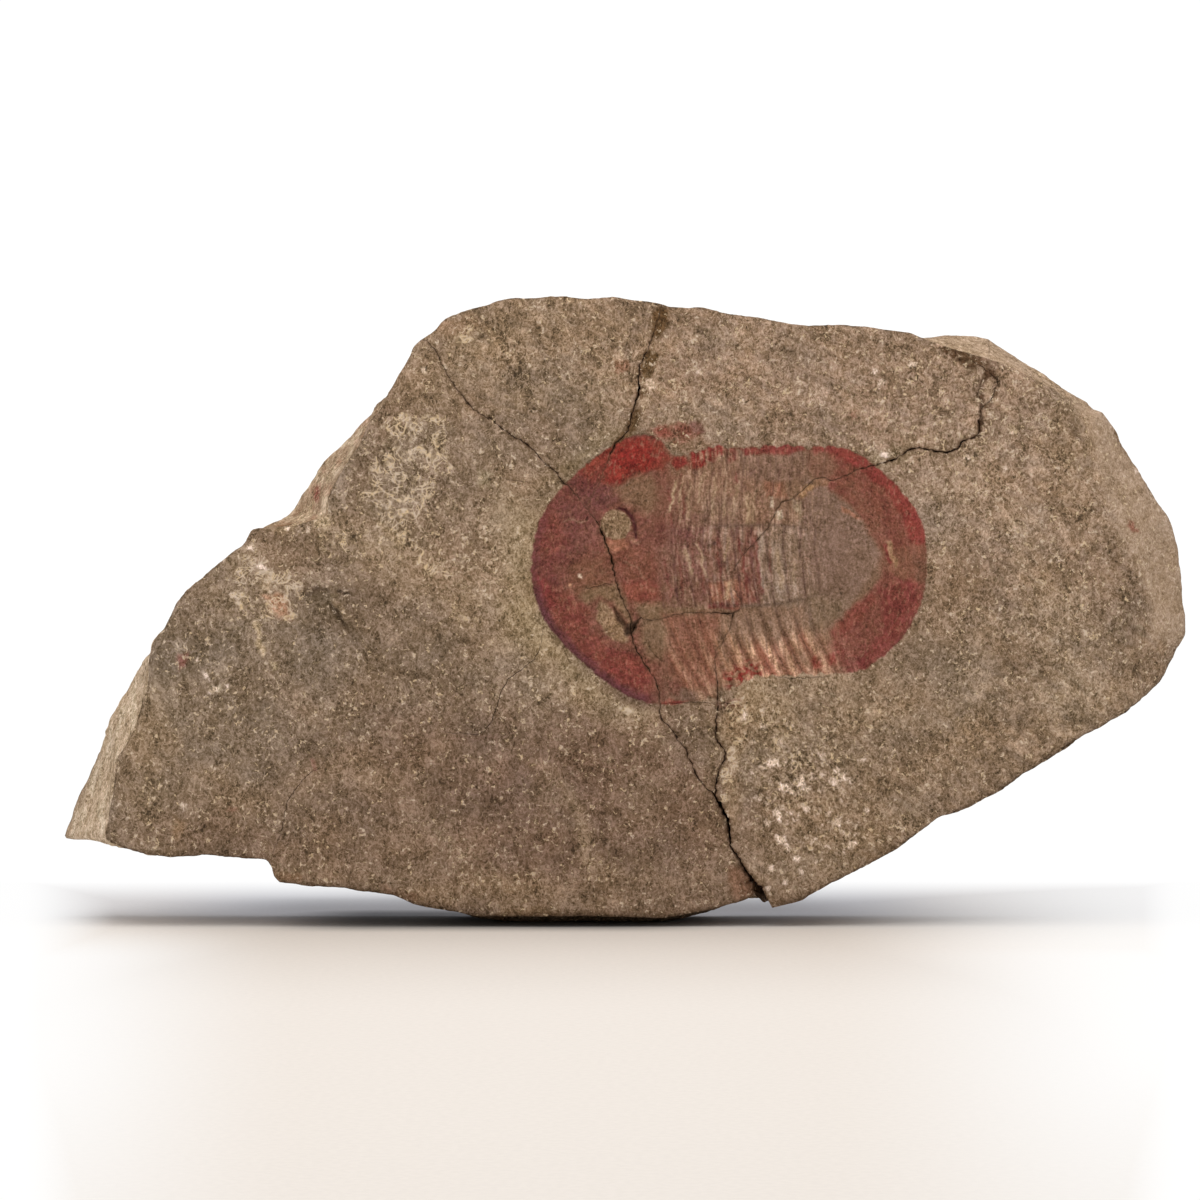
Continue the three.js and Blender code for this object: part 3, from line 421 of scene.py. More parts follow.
TONES = {"light": (161, 138, 112), "pink": (155, 128, 105), "tan": (152, 127, 100), "mid": (139, 115, 92), "grey": (126, 107, 87), "cool": (119, 102, 84),
         "dark": (108, 88, 69), "red": (119, 94, 77)}
# Broad zones of the bare front face: centre, reach along and across, turn in degrees, tone, strength.
ZONES = [
    (240, 720, 190, 150, 0, "grey", 0.9), (400, 660, 200, 70, 10, "cool", 0.75), (520, 800, 230, 110, 5, "red", 0.95), (620, 760, 80, 90, 30, "red", 0.6),
    (460, 560, 130, 110, 0, "mid", 0.8), (520, 570, 45, 110, -12, "tan", 0.8), (430, 575, 150, 26, 28, "light", 0.42), (345, 525, 70, 26, 35, "light", 0.4),
    (530, 640, 60, 24, 42, "light", 0.45), (600, 700, 70, 16, 30, "tan", 0.7), (510, 440, 110, 70, 30, "grey", 0.35),
    (490, 350, 85, 52, -15, "tan", 0.9), (560, 408, 80, 30, 25, "grey", 0.5), (590, 350, 60, 50, 0, "tan", 0.6), (560, 330, 30, 24, 0, "tan", 0.4), (600, 400, 30, 26, 0, "tan", 0.5),
    (555, 440, 40, 16, 35, "dark", 0.22), (490, 400, 26, 12, 30, "dark", 0.22), (540, 345, 10, 34, -25, "dark", 0.25), (575, 335, 12, 34, -25, "dark", 0.25),
    (800, 375, 170, 60, 5, "pink", 0.95), (920, 400, 80, 45, 0, "pink", 0.7), (730, 340, 80, 18, 8, "mid", 0.6), (860, 350, 90, 16, 5, "mid", 0.55), (700, 410, 50, 20, 0, "light", 0.35),
    (740, 390, 34, 14, -30, "mid", 0.35), (1000, 480, 90, 100, 0, "pink", 0.9), (960, 500, 40, 60, 0, "light", 0.3), (1080, 450, 60, 70, 0, "tan", 0.6),
    (1000, 640, 110, 90, -10, "mid", 0.8), (960, 700, 70, 60, 0, "grey", 0.5), (1060, 620, 34, 90, -14, "light", 0.28), (1030, 560, 20, 80, -18, "tan", 0.5), (1130, 560, 40, 120, 4, "mid", 0.6),
    (1130, 625, 22, 36, 0, "dark", 0.5), (1150, 500, 24, 60, -8, "pink", 0.5), (900, 740, 110, 60, 15, "mid", 0.7), (860, 700, 60, 30, 10, "tan", 0.5), (1090, 700, 60, 30, -30, "tan", 0.45),
    (762, 715, 42, 50, 20, "tan", 0.9), (800, 772, 66, 40, 15, "grey", 0.55), (850, 800, 70, 50, 0, "mid", 0.5), (830, 855, 70, 30, -20, "tan", 0.35), (780, 850, 44, 50, 0, "grey", 0.2), (830, 830, 80, 60, 0, "tan", 0.25),
    (190, 640, 50, 70, 20, "cool", 0.6), (165, 770, 60, 60, 0, "mid", 0.3), (250, 590, 50, 34, 0, "tan", 0.5), (150, 720, 26, 40, 10, "tan", 0.45), (260, 790, 90, 26, -18, "mid", 0.55),
    (230, 840, 90, 22, 8, "red", 0.45), (300, 700, 60, 18, 40, "mid", 0.4), (430, 690, 90, 20, 25, "dark", 0.22), (330, 600, 50, 18, 20, "dark", 0.4), (345, 470, 26, 60, 30, "cool", 0.6),
    (590, 850, 14, 50, -30, "tan", 0.5), (560, 800, 12, 44, -32, "tan", 0.4), (500, 890, 110, 16, 3, "tan", 0.45), (690, 850, 40, 50, 0, "red", 0.5), (700, 760, 24, 60, -30, "dark", 0.25),
    (660, 880, 70, 20, 0, "mid", 0.4), (420, 840, 60, 40, 20, "mid", 0.4), (380, 780, 40, 20, 20, "tan", 0.3), (640, 800, 30, 30, 0, "mid", 0.35), (440, 760, 60, 22, -10, "mid", 0.3)]


def stone_colour(u, v, f):
    """Bare stone on the front face, as seen in neutral light."""
    c = np.ones(u.shape + (3,)) * rgb(137, 113, 91)
    zu = u + 16 * fbm(u / 42, v / 38, 0, 2, 203)
    zv = v + 16 * fbm(u / 42, v / 38, 0, 2, 206)
    for cu, cv, along, across, turn, tone, amount in ZONES:
        a = math.radians(turn)
        du, dv = zu - cu, zv - cv
        p, q = du * math.cos(a) + dv * math.sin(a), dv * math.cos(a) - du * math.sin(a)
        c = blend(c, rgb(*TONES[tone]), amount * np.exp(-((p / along) ** 2 + (q / across) ** 2) ** 1.2))
    broad = fbm(u / 55 + 0.3 * v / 55, v / 36, 0, 3, 201)
    c = c * (1 + 0.20 * broad)[..., None]
    # mottles that run down to the right, coarser on the two upper fragments and the right one
    sway = (u * 0.80 + v * 0.60) / 17, (v * 0.80 - u * 0.60) / 8
    mottle = fbm(sway[0], sway[1], 0, 3, 208)
    strength = 0.10 + 0.16 * np.maximum(smooth(470, 400, v) * smooth(430, 470, u), smooth(930, 990, u)) + 0.08 * smooth(720, 760, u) * smooth(680, 720, v)
    c = c * (1 + 1.25 * strength * mottle)[..., None]
    warm = fbm(u / 70, v / 60, 0, 2, 214)
    high = 1 - smooth(590, 700, v)
    return c * np.stack([1.075 + 0.035 * warm - 0.044 * high, 1.10 - 0.005 * warm - 0.06 * high, 1.16 - 0.05 * warm - 0.05 * high], -1) * (1 - 0.05 * bell((u - 390) / 100, 1) * bell((v - 530) / 90, 1))[..., None]


def blend(c, target, amount):
    a = np.clip(amount, 0, 1)[..., None]
    return c * (1 - a) + np.asarray(target) * a


# Brown fill and broken edges beside the joints, and painted shadow below a ledge beside joint C.
JOINT_FILLS_AND_SHADE = [
    ([(652, 312), (660, 306), (672, 310), (668, 326), (660, 338), (652, 338), (650, 326)], (100, 74, 48), 0.85, 4),
    ([(646, 350), (656, 350), (662, 356), (656, 362), (652, 380), (643, 382), (639, 366)], (97, 73, 47), 0.85, 3.5),
    ([(640, 384), (647, 388), (648, 396), (642, 400), (637, 396)], (106, 80, 58), 0.7, 2), ([(630, 410), (641, 408), (641, 420), (634, 434), (624, 432)], (92, 69, 45), 0.9, 3),
    ([(622, 432), (632, 434), (628, 440), (616, 447), (612, 444)], (106, 80, 54), 0.7, 2), ([(645, 380), (652, 378), (656, 386), (650, 391), (645, 388)], (186, 160, 138), 0.85, 1.5),
    ([(640, 401), (648, 398), (652, 402), (646, 408), (640, 407)], (178, 152, 130), 0.8, 1.5), ([(614, 362), (628, 360), (630, 370), (616, 374)], (146, 100, 78), 0.5, 3),
    ([(622, 346), (630, 340), (632, 356), (630, 364), (626, 356)], (100, 80, 62), 0.55, 2), ([(630, 322), (642, 328), (642, 334), (634, 330)], (102, 82, 64), 0.5, 2),
    # painted shadow: the two dark patches on the next line are the shade below a ledge's edge beside joint C
    ([(936, 345), (948, 345), (960, 349), (972, 355), (976, 362), (968, 368), (958, 362), (946, 354)], (84, 60, 40), 0.95, 2.5), ([(960, 352), (974, 356), (986, 362), (990, 372), (984, 378), (976, 368), (964, 362)], (92, 68, 48), 0.8, 3),
    ([(978, 378), (986, 371), (992, 366), (996, 374), (999, 382), (994, 380), (988, 378), (982, 388), (984, 400), (980, 408), (975, 392)], (86, 62, 44), 0.95, 2.2), ([(979, 402), (983, 402), (983, 424), (980, 438), (977, 438), (978, 420)], (74, 54, 40), 0.75, 1.0),
    ([(984, 404), (992, 396), (996, 386), (998, 392), (992, 404), (984, 412)], (104, 80, 60), 0.75, 1.5), ([(984, 384), (991, 378), (993, 388), (988, 396), (984, 394)], (166, 140, 116), 0.7, 2),
    ([(985, 412), (1000, 408), (1004, 436), (996, 446), (986, 438)], (136, 112, 92), 0.6, 3), ([(968, 372), (984, 366), (980, 388), (972, 394)], (150, 126, 106), 0.5, 4),
    ([(1008, 424), (1014, 424), (1016, 432), (1010, 434)], (196, 170, 146), 0.8, 1.5), ([(936, 341), (942, 340), (944, 346), (938, 347)], (194, 162, 142), 0.8, 1.5),
]

# The paler slope along the right rim.
SLOPE = [(1066, 394), (1085, 418), (1093, 450), (1101, 485), (1112, 520), (1125, 549), (1140, 575), (1150, 600), (1156, 640), (1200, 650), (1200, 560), (1160, 480), (1110, 410), (1080, 380)]


MARKS = [
    (SLOPE, (172, 147, 126), 0.8, 9), ([(1070, 404), (1078, 414), (1088, 446), (1096, 486), (1092, 488), (1082, 450), (1070, 420)], (120, 101, 82), 0.4, 4),
    # bare stone: outline, colour, amount, softness
    ([(357, 505), (372, 468), (392, 430), (425, 416), (455, 428), (448, 452), (425, 470), (418, 500), (400, 520), (372, 522)], (124, 106, 87), 0.6, 10),
    ([(360, 500), (400, 512), (430, 545), (415, 552), (385, 530)], (130, 111, 90), 0.4, 8),
    ([(376, 520), (384, 522), (396, 530), (407, 547), (400, 550), (388, 538)], (172, 148, 120), 0.5, 3),
    ([(228, 590), (238, 575), (262, 566), (290, 582), (292, 600), (262, 606), (236, 606)], (128, 108, 88), 0.5, 8),
    ([(266, 600), (283, 596), (292, 608), (289, 618), (270, 613)], (160, 114, 88), 0.4, 5),
    ([(255, 622), (260, 624), (262, 640), (266, 652), (263, 657), (257, 644)], (200, 176, 146), 0.75, 1.5), ([(270, 661), (274, 662), (278, 668), (275, 670)], (206, 184, 154), 0.75, 1),
    ([(262, 595), (276, 592), (290, 600), (286, 618), (272, 612)], (196, 146, 116), 0.45, 3), ([(262, 572), (270, 574), (268, 590), (262, 588)], (190, 164, 134), 0.5, 2.5),
    ([(312, 508), (326, 504), (331, 522), (326, 532), (314, 524)], (190, 168, 140), 0.7, 3),
    ([(318, 530), (324, 532), (323, 550), (318, 552)], (158, 136, 110), 0.5, 3),
    ([(226, 560), (244, 548), (262, 552), (250, 566), (232, 580)], (152, 130, 106), 0.45, 5),
    ([(268, 528), (290, 522), (298, 529), (282, 536)], (158, 134, 108), 0.5, 3),
    ([(160, 728), (180, 732), (184, 752), (174, 764), (160, 748)], (148, 124, 100), 0.5, 6),
    ([(174, 818), (184, 822), (182, 838), (174, 834)], (150, 120, 90), 0.5, 4),
    ([(212, 686), (219, 682), (222, 690), (215, 694)], (190, 172, 150), 0.85, 1.2),
    ([(248, 546), (254, 545), (255, 550), (249, 551)], (186, 164, 140), 0.8, 1.2),
    ([(282, 524), (289, 523), (290, 528), (283, 529)], (186, 160, 136), 0.8, 1.2),
    ([(422, 370), (427, 369), (428, 374), (423, 375)], (184, 160, 138), 0.8, 1.2),
    ([(480, 470), (492, 474), (488, 488), (478, 484)], (158, 142, 116), 0.6, 3),
    ([(500, 480), (520, 500), (530, 520), (526, 570), (520, 600), (500, 560), (488, 520)], (150, 130, 103), 0.4, 14),
    ([(500, 600), (528, 600), (545, 635), (560, 655), (540, 658), (505, 640)], (154, 132, 102), 0.5, 10),
    ([(560, 655), (600, 690), (630, 706), (660, 712), (640, 720), (600, 704), (560, 672)], (152, 131, 104), 0.45, 6),
    ([(722, 690), (750, 690), (748, 740), (735, 770), (742, 800), (735, 830), (726, 812), (724, 780), (730, 752), (722, 735)], (166, 138, 110), 0.5, 6),
    ([(741, 680), (768, 678), (764, 702), (748, 720)], (158, 134, 106), 0.4, 7),
    ([(640, 330), (656, 340), (658, 380), (648, 412), (640, 420), (642, 372)], (152, 124, 97), 0.45, 5),
    ([(440, 322), (470, 312), (480, 326), (460, 340), (440, 338)], (152, 122, 96), 0.6, 6),
    ([(428, 329), (446, 318), (452, 322), (440, 332)], (166, 132, 106), 0.6, 3),
    ([(262, 872), (300, 874), (300, 884), (275, 882)], (140, 106, 78), 0.5, 4), ([(380, 886), (418, 893), (415, 906), (388, 899)], (118, 84, 62), 0.6, 4),
    ([(500, 908), (560, 910), (560, 918), (500, 918)], (150, 122, 94), 0.5, 3), ([(560, 912), (700, 908), (700, 918), (560, 918)], (118, 92, 70), 0.45, 3),
    ([(727, 868), (742, 866), (756, 880), (757, 897), (742, 902), (730, 892)], (128, 90, 68), 0.65, 5),
    ([(724, 812), (730, 818), (731, 846), (726, 842)], (112, 84, 62), 0.7, 2),
    # dark places
    # painted shadow: the dark marks on the next three lines are the shade under the ledge of the flake scar on the left
    ([(300, 595), (328, 590), (340, 606), (350, 622), (330, 618), (312, 604)], (102, 86, 66), 0.6, 6),
    ([(296, 594), (308, 590), (317, 587.5), (329, 588), (329, 590.5), (317, 591), (306, 596)], (66, 52, 38), 0.6, 1.3),
    ([(330, 594), (338, 606), (350, 622), (362, 640), (354, 642), (341, 626), (329, 608)], (88, 72, 54), 0.55, 3.5), ([(331, 604), (335, 606), (348, 624), (346, 627), (338, 617)], (58, 44, 32), 0.6, 1.1), ([(332, 592), (342, 604), (352, 618), (348, 622), (336, 606)], (160, 136, 112), 0.45, 2),
    ([(352, 455), (372, 440), (378, 470), (362, 500), (346, 498)], (122, 100, 80), 0.5, 8),
    ([(436, 337), (446, 336), (446, 360), (440, 372)], (112, 90, 70), 0.5, 4),
    ([(390, 430), (402, 424), (404, 440), (394, 448)], (118, 96, 76), 0.4, 4),
    ([(620, 436), (628, 428), (640, 432), (625, 443), (614, 450), (605, 460), (608, 448)], (108, 90, 68), 0.7, 2.5),
    ([(632, 412), (636, 414), (633, 430), (626, 436), (628, 424)], (104, 84, 64), 0.7, 2),
    ([(560, 470), (600, 430), (625, 425), (618, 440), (590, 456), (568, 476)], (128, 108, 80), 0.55, 7),
    # painted shadow: the next two marks darken the stone in the shade below a ledge's edge beside joint C
    ([(955, 350), (975, 344), (986, 352), (984, 368), (970, 372), (958, 362)], (96, 72, 54), 0.75, 4),
    ([(976, 340), (992, 345), (1000, 365), (992, 372), (980, 360)], (104, 78, 60), 0.6, 3),
    ([(950, 440), (962, 438), (962, 450), (930, 456), (925, 450)], (116, 94, 72), 0.5, 3),
    ([(870, 455), (915, 440), (915, 456), (885, 468), (868, 470)], (128, 110, 84), 0.6, 5),
    ([(1068, 416), (1076, 424), (1084, 440), (1079, 442), (1070, 428)], (98, 78, 62), 0.6, 2.5),
    ([(1112, 540), (1118, 545), (1126, 580), (1120, 588), (1114, 566)], (112, 90, 72), 0.35, 4),
    ([(1128, 600), (1138, 604), (1136, 640), (1126, 632)], (112, 90, 72), 0.3, 5),
    ([(980, 760), (1000, 762), (1004, 782), (985, 786)], (118, 96, 77), 0.4, 6),
    ([(1128, 519), (1136, 524), (1142, 534), (1136, 534), (1130, 527)], (140, 72, 58), 0.65, 2),
    ([(312, 484), (318, 486), (315, 502), (310, 500)], (140, 60, 54), 0.6, 2), ([(176, 660), (190, 650), (188, 664), (180, 670)], (132, 66, 60), 0.55, 2.5),
    ([(313, 758), (317, 758), (317, 770), (313, 770)], (128, 70, 62), 0.4, 1.5), ([(232, 806), (238, 810), (234, 815), (228, 810)], (140, 80, 66), 0.3, 2),
    ([(852, 412), (857, 412), (856, 418), (852, 418)], (138, 86, 70), 0.45, 1.5), ([(442, 735), (470, 737), (500, 732), (498, 738), (460, 741)], (122, 92, 78), 0.35, 3),
    ([(716, 700), (740, 700), (742, 706), (718, 708)], (112, 58, 52), 0.55, 1.5),
    ([(648, 432), (664, 426), (684, 424), (694, 428), (690, 436), (672, 438), (660, 440)], (138, 88, 72), 0.75, 3),
    ([(652, 430), (668, 425), (672, 432), (658, 438)], (138, 66, 56), 0.6, 2.5), ([(688, 420), (702, 422), (706, 434), (698, 438), (692, 430)], (108, 66, 58), 0.75, 2),
    ([(676, 428), (690, 426), (694, 434), (680, 436)], (128, 70, 60), 0.5, 2), ([(664, 440), (700, 436), (716, 443), (700, 451), (676, 452), (668, 448)], (142, 110, 88), 0.6, 3),
    ([(671, 441), (684, 436), (700, 432), (702, 437), (684, 443), (674, 448)], (134, 78, 62), 0.45, 2), ([(714, 690), (734, 690), (730, 712), (716, 716)], (110, 92, 78), 0.5, 3),
]

FLECKS = [(770, 763, 4, .8), (781, 787, 3.6, .85), (788, 787, 3, .8), (800, 781, 3.5, .8), (843, 776, 4, .85), (835, 782, 3, .7), (779, 816, 3.6, .8), (775, 813, 2.8, .7),
          (780, 840, 3.4, .85), (837, 823, 3.2, .75), (853, 844, 3.6, .8), (805, 808, 2.6, .6), (772, 870, 3.2, .7), (797, 859, 2.8, .7), (776, 762, 3, .7), (764, 768, 2.4, .6),
          (792, 792, 2.6, .7), (806, 788, 2.4, .6), (812, 776, 2.2, .5), (850, 780, 2.6, .6), (838, 770, 2.2, .6), (828, 812, 2.4, .5), (846, 834, 2.4, .6), (786, 846, 2.4, .6),
          (760, 800, 2.2, .5), (768, 824, 2.4, .6), (752, 742, 3, .6), (744, 716, 3, .5), (762, 726, 2.6, .5), (780, 742, 2.4, .5), (790, 726, 2.2, .45), (822, 756, 2.6, .5),
          (860, 760, 2.2, .5), (866, 812, 2.2, .5), (812, 840, 2.4, .5), (800, 872, 2.4, .55), (786, 884, 2.6, .5), (768, 890, 2.6, .5), (815, 862, 2.2, .5), (774, 738, 2.2, .5),
          (214, 690, 4.2, .8), (250, 549, 2.6, .8), (285, 526, 2.6, .8), (424, 371, 2.6, .8), (184, 806, 2.2, .5), (196, 660, 2.4, .5), (206, 676, 2.2, .5), (228, 688, 2.2, .5),
          (262, 566, 2.6, .6), (240, 574, 2.4, .5), (233, 596, 2.4, .5), (300, 520, 2.6, .6), (308, 528, 2.4, .5), (876, 372, 2.4, .5), (912, 364, 3, .7), (881, 383, 2.6, .65),
          (966, 457, 2.4, .6), (884, 455, 2.6, .5), (1060, 560, 2.2, .5), (1142, 470, 2.2, .5), (1004, 470, 2.2, .5), (700, 372, 2.4, .45), (742, 402, 2.2, .45), (476, 462, 2.6, .5)]

SHELL_MARKS = [
    # trilobite, lowest layer first: outline, colour, amount, softness
    ([(655, 425), (905, 425), (935, 560), (880, 690), (640, 720)], (133, 103, 83), 1.0, 6),
    ([(520, 570), (540, 500), (600, 440), (650, 420), (672, 430), (672, 470), (668, 530), (664, 600), (660, 640), (668, 700), (640, 710), (560, 660)], (121, 77, 64), 1.0, 8),
    ([(530, 540), (548, 500), (575, 472), (600, 482), (610, 500), (596, 520), (570, 560), (552, 600), (560, 640), (536, 600)], (113, 64, 58), 0.8, 9),
    ([(570, 478), (592, 474), (612, 486), (618, 500), (604, 510), (590, 506), (574, 496)], (106, 66, 62), 0.7, 5),
    ([(560, 500), (598, 506), (602, 540), (584, 556), (556, 560), (545, 530)], (116, 76, 68), 0.5, 9),
    ([(532, 522), (545, 508), (560, 520), (570, 545), (552, 556), (535, 556)], (132, 74, 62), 0.6, 7),
    ([(556, 566), (604, 556), (612, 584), (578, 592), (560, 586)], (126, 88, 68), 0.75, 8),
    ([(546, 556), (566, 548), (574, 584), (556, 590), (546, 580)], (110, 60, 56), 0.4, 7),
    ([(613, 546), (645, 548), (665, 570), (664, 608), (640, 606), (624, 590)], (127, 79, 63), 0.8, 8),
    ([(622, 582), (650, 580), (660, 594), (640, 604), (626, 600)], (138, 74, 60), 0.65, 5),
    ([(586, 588), (618, 584), (630, 612), (634, 632), (612, 602), (598, 598), (588, 604), (580, 596)], (130, 106, 80), 0.8, 5),
    ([(636, 604), (664, 604), (668, 630), (664, 662), (650, 660), (640, 642), (640, 620)], (131, 107, 83), 0.75, 6),
    ([(640, 606), (664, 600), (700, 606), (700, 616), (664, 618), (642, 616)], (130, 104, 80), 0.5, 5),
    ([(662, 614), (720, 614), (716, 650), (716, 684), (700, 690), (680, 690), (664, 668), (668, 640)], (136, 86, 69), 0.75, 6),
    ([(536, 574), (548, 584), (566, 592), (586, 606), (590, 628), (604, 642), (626, 652), (640, 656), (650, 670), (658, 700), (630, 698), (590, 668), (556, 632), (540, 606)], (127, 68, 58), 0.85, 6),
    ([(600, 654), (624, 656), (650, 664), (652, 682), (640, 694), (618, 686), (604, 672)], (132, 60, 52), 0.45, 8),
    ([(532, 572), (544, 580), (556, 602), (552, 610), (540, 598)], (128, 52, 54), 0.5, 4),
    ([(615, 484), (632, 477), (652, 476), (662, 486), (664, 510), (650, 514), (634, 508), (622, 500)], (127, 100, 77), 0.78, 8),
    ([(656, 476), (664, 472), (668, 500), (666, 530), (660, 536), (655, 506)], (120, 76, 62), 0.5, 4),
    ([(654, 528), (680, 524), (700, 530), (698, 540), (670, 548), (656, 544)], (112, 66, 58), 0.7, 5),
    ([(655, 546), (700, 540), (756, 530), (757, 600), (700, 604), (662, 600)], (129, 92, 77), 0.75, 6),
    ([(744, 530), (758, 530), (760, 602), (748, 604), (744, 580)], (124, 78, 66), 0.6, 3),
    ([(760, 528), (806, 522), (822, 560), (822, 606), (764, 606)], (139, 116, 99), 0.85, 5),
    ([(672, 468), (740, 466), (758, 484), (770, 520), (700, 526), (676, 524)], (137, 103, 83), 0.85, 7),
    ([(664, 476), (680, 474), (684, 500), (690, 528), (668, 530)], (124, 82, 67), 0.7, 6), ([(668, 512), (700, 514), (760, 520), (762, 530), (700, 534), (668, 532)], (122, 84, 70), 0.55, 5),
    ([(700, 500), (742, 500), (742, 528), (700, 528)], (131, 106, 88), 0.5, 6),
    ([(738, 452), (806, 452), (816, 470), (800, 484), (760, 484), (742, 474)], (129, 100, 83), 0.9, 5),
    ([(764, 482), (784, 482), (786, 498), (766, 498)], (150, 100, 78), 0.7, 3),
    ([(744, 492), (753, 492), (753, 526), (745, 526)], (160, 132, 106), 0.5, 2.5),
    ([(804, 478), (830, 486), (858, 516), (880, 556), (862, 590), (832, 628), (812, 640), (800, 600), (800, 520)], (129, 103, 88), 0.95, 4),
    ([(852, 540), (876, 548), (880, 562), (866, 580), (850, 572)], (134, 107, 90), 0.7, 6),
    ([(806, 590), (836, 600), (848, 600), (832, 626), (812, 636)], (128, 106, 84), 0.6, 6),
    ([(808, 440), (850, 438), (900, 470), (935, 530), (935, 552), (884, 552), (870, 532), (852, 506), (822, 484), (808, 470)], (124, 72, 59), 0.95, 3.5),
    ([(806, 450), (826, 452), (838, 468), (826, 482), (806, 476)], (132, 100, 80), 0.7, 4),
    ([(838, 476), (856, 484), (880, 516), (890, 546), (876, 544), (862, 516), (846, 494)], (126, 86, 68), 0.5, 5),
    ([(814, 444), (848, 444), (868, 456), (896, 480), (918, 508), (928, 545), (912, 546), (902, 516), (884, 490), (862, 472), (842, 460), (826, 452), (814, 452)], (134, 56, 50), 0.75, 3),
    ([(882, 545), (926, 545), (930, 585), (900, 590), (880, 572)], (129, 84, 66), 0.85, 5),
    ([(916, 560), (930, 560), (928, 600), (918, 598)], (116, 82, 66), 0.7, 3),
    ([(828, 630), (846, 612), (872, 590), (884, 572), (900, 578), (926, 584), (922, 606), (905, 638), (884, 658), (862, 672), (852, 668), (836, 656)], (124, 72, 61), 0.95, 3.5),
    ([(880, 590), (914, 578), (922, 600), (900, 636), (880, 656), (862, 668), (862, 656), (884, 630)], (128, 58, 54), 0.6, 5),
    ([(834, 628), (856, 606), (872, 592), (876, 600), (860, 622), (838, 640)], (132, 66, 56), 0.5, 3),
    ([(834, 656), (854, 660), (858, 674), (838, 676)], (128, 104, 87), 0.65, 5),
    ([(882, 543), (886, 543), (889, 552), (893, 560), (890, 566), (885, 556)], (114, 44, 42), 0.8, 1.4),
    ([(885, 540), (890, 541), (893, 551), (898, 566), (895, 569), (890, 558), (886, 547)], (166, 132, 100), 0.8, 1.2),
    ([(841, 507), (848, 510), (858, 517), (860, 521), (850, 517), (842, 512)], (172, 120, 96), 0.75, 1.6),
    ([(797, 494), (806, 486), (814, 484), (811, 492), (803, 498)], (184, 144, 104), 0.75, 1.6), ([(790, 498), (800, 500), (803, 512), (799, 516), (793, 508)], (166, 148, 124), 0.7, 2),
    ([(812, 478), (830, 480), (826, 487), (814, 486)], (152, 116, 90), 0.7, 2), ([(799, 510), (803, 510), (802, 528), (799, 524)], (158, 138, 112), 0.5, 1.5),
    ([(756, 534), (763, 532), (764, 548), (761, 562), (766, 586), (761, 590), (757, 566)], (176, 158, 142), 0.6, 2),
    ([(772, 544), (782, 540), (786, 560), (784, 592), (776, 590)], (152, 132, 118), 0.5, 4),
    ([(708, 584), (744, 580), (750, 592), (744, 602), (712, 602)], (150, 98, 78), 0.85, 3),
    ([(722, 582), (734, 580), (736, 594), (728, 600), (722, 596)], (184, 138, 110), 0.85, 2),
    ([(708, 584), (718, 582), (720, 598), (710, 600)], (160, 106, 84), 0.6, 2.5), ([(738, 590), (756, 588), (758, 603), (742, 603)], (138, 84, 70), 0.7, 3),
    ([(708, 602), (728, 604), (742, 602), (738, 609), (720, 610), (708, 608)], (116, 46, 42), 0.85, 1.8),
    (BRIGHT_RED, (130, 50, 40), 1.0, 4),
    ([(570, 476), (586, 460), (600, 450), (608, 458), (604, 484), (584, 484)], (114, 62, 51), 0.8, 8),
    ([(582, 462), (604, 446), (620, 443), (612, 456), (598, 468), (586, 474)], (138, 60, 46), 0.5, 5),
    ([(612, 452), (636, 444), (652, 448), (650, 464), (630, 470), (612, 468)], (138, 42, 36), 0.55, 6),
    ([(650, 440), (664, 444), (672, 458), (664, 470), (650, 470), (656, 456)], (132, 66, 52), 0.6, 4),
    ([(576, 474), (600, 486), (614, 486), (600, 494), (580, 490)], (110, 58, 56), 0.5, 4),
    ([(652, 430), (672, 426), (690, 424), (694, 430), (676, 436), (658, 438)], (132, 78, 64), 0.75, 3),
    ([(664, 438), (700, 430), (712, 446), (690, 452), (668, 452)], (138, 106, 84), 0.7, 4),
    ([(690, 420), (702, 424), (704, 434), (696, 434)], (96, 58, 52), 0.75, 2),
    ([(672, 456), (684, 453), (688, 464), (678, 470), (672, 464)], (136, 48, 42), 0.9, 2), ([(690, 452), (706, 450), (706, 464), (700, 469), (692, 466)], (138, 34, 34), 0.95, 2),
    ([(686, 462), (696, 460), (698, 468), (688, 470)], (132, 60, 50), 0.6, 2), ([(708, 446), (723, 443), (723, 455), (713, 462), (707, 458)], (134, 50, 45), 0.9, 2),
    ([(725, 445), (737, 445), (736, 460), (727, 462)], (126, 66, 56), 0.8, 2),
    ([(738, 446), (760, 444), (778, 442), (803, 442), (805, 450), (788, 455), (768, 453), (744, 456)], (130, 56, 50), 0.9, 2),
    ([(772, 442), (800, 442), (802, 447), (774, 449)], (136, 48, 48), 0.6, 1.6),
    ([(662, 702), (676, 700), (702, 702), (704, 705), (680, 707), (662, 706)], (152, 52, 52), 0.85, 1.2),
    ([(650, 692), (672, 694), (668, 702), (652, 702)], (112, 74, 62), 0.6, 2.5), ([(682, 688), (702, 694), (714, 700), (700, 704), (684, 702), (676, 696)], (128, 106, 92), 0.8, 2.5),
    ([(666, 680), (684, 684), (678, 696), (668, 692)], (122, 62, 58), 0.5, 3),
    ([(718, 690), (730, 684), (742, 682), (744, 690), (730, 700), (716, 700)], (120, 108, 92), 0.6, 3),
    (EYE_LOW, (150, 122, 95), 0.9, 2.2), (PIT, (84, 64, 48), 0.85, 1.6), ([(626, 624), (638, 620), (635, 629), (631, 634), (627, 632)], (44, 31, 23), 0.85, 1.4),
    ([(604, 538), (624, 538), (628, 548), (616, 553), (606, 550)], (164, 112, 88), 0.75, 2.5), ([(628, 534), (636, 540), (638, 544), (632, 543)], (172, 128, 106), 0.6, 1.5),
    ([(577.5, 574), (580.5, 573.6), (582, 576.4), (579, 576.2)], (214, 192, 170), 0.9, 0.5), ([(568, 584), (571, 584), (571, 588), (568, 588)], (196, 150, 120), 0.9, 0.8),
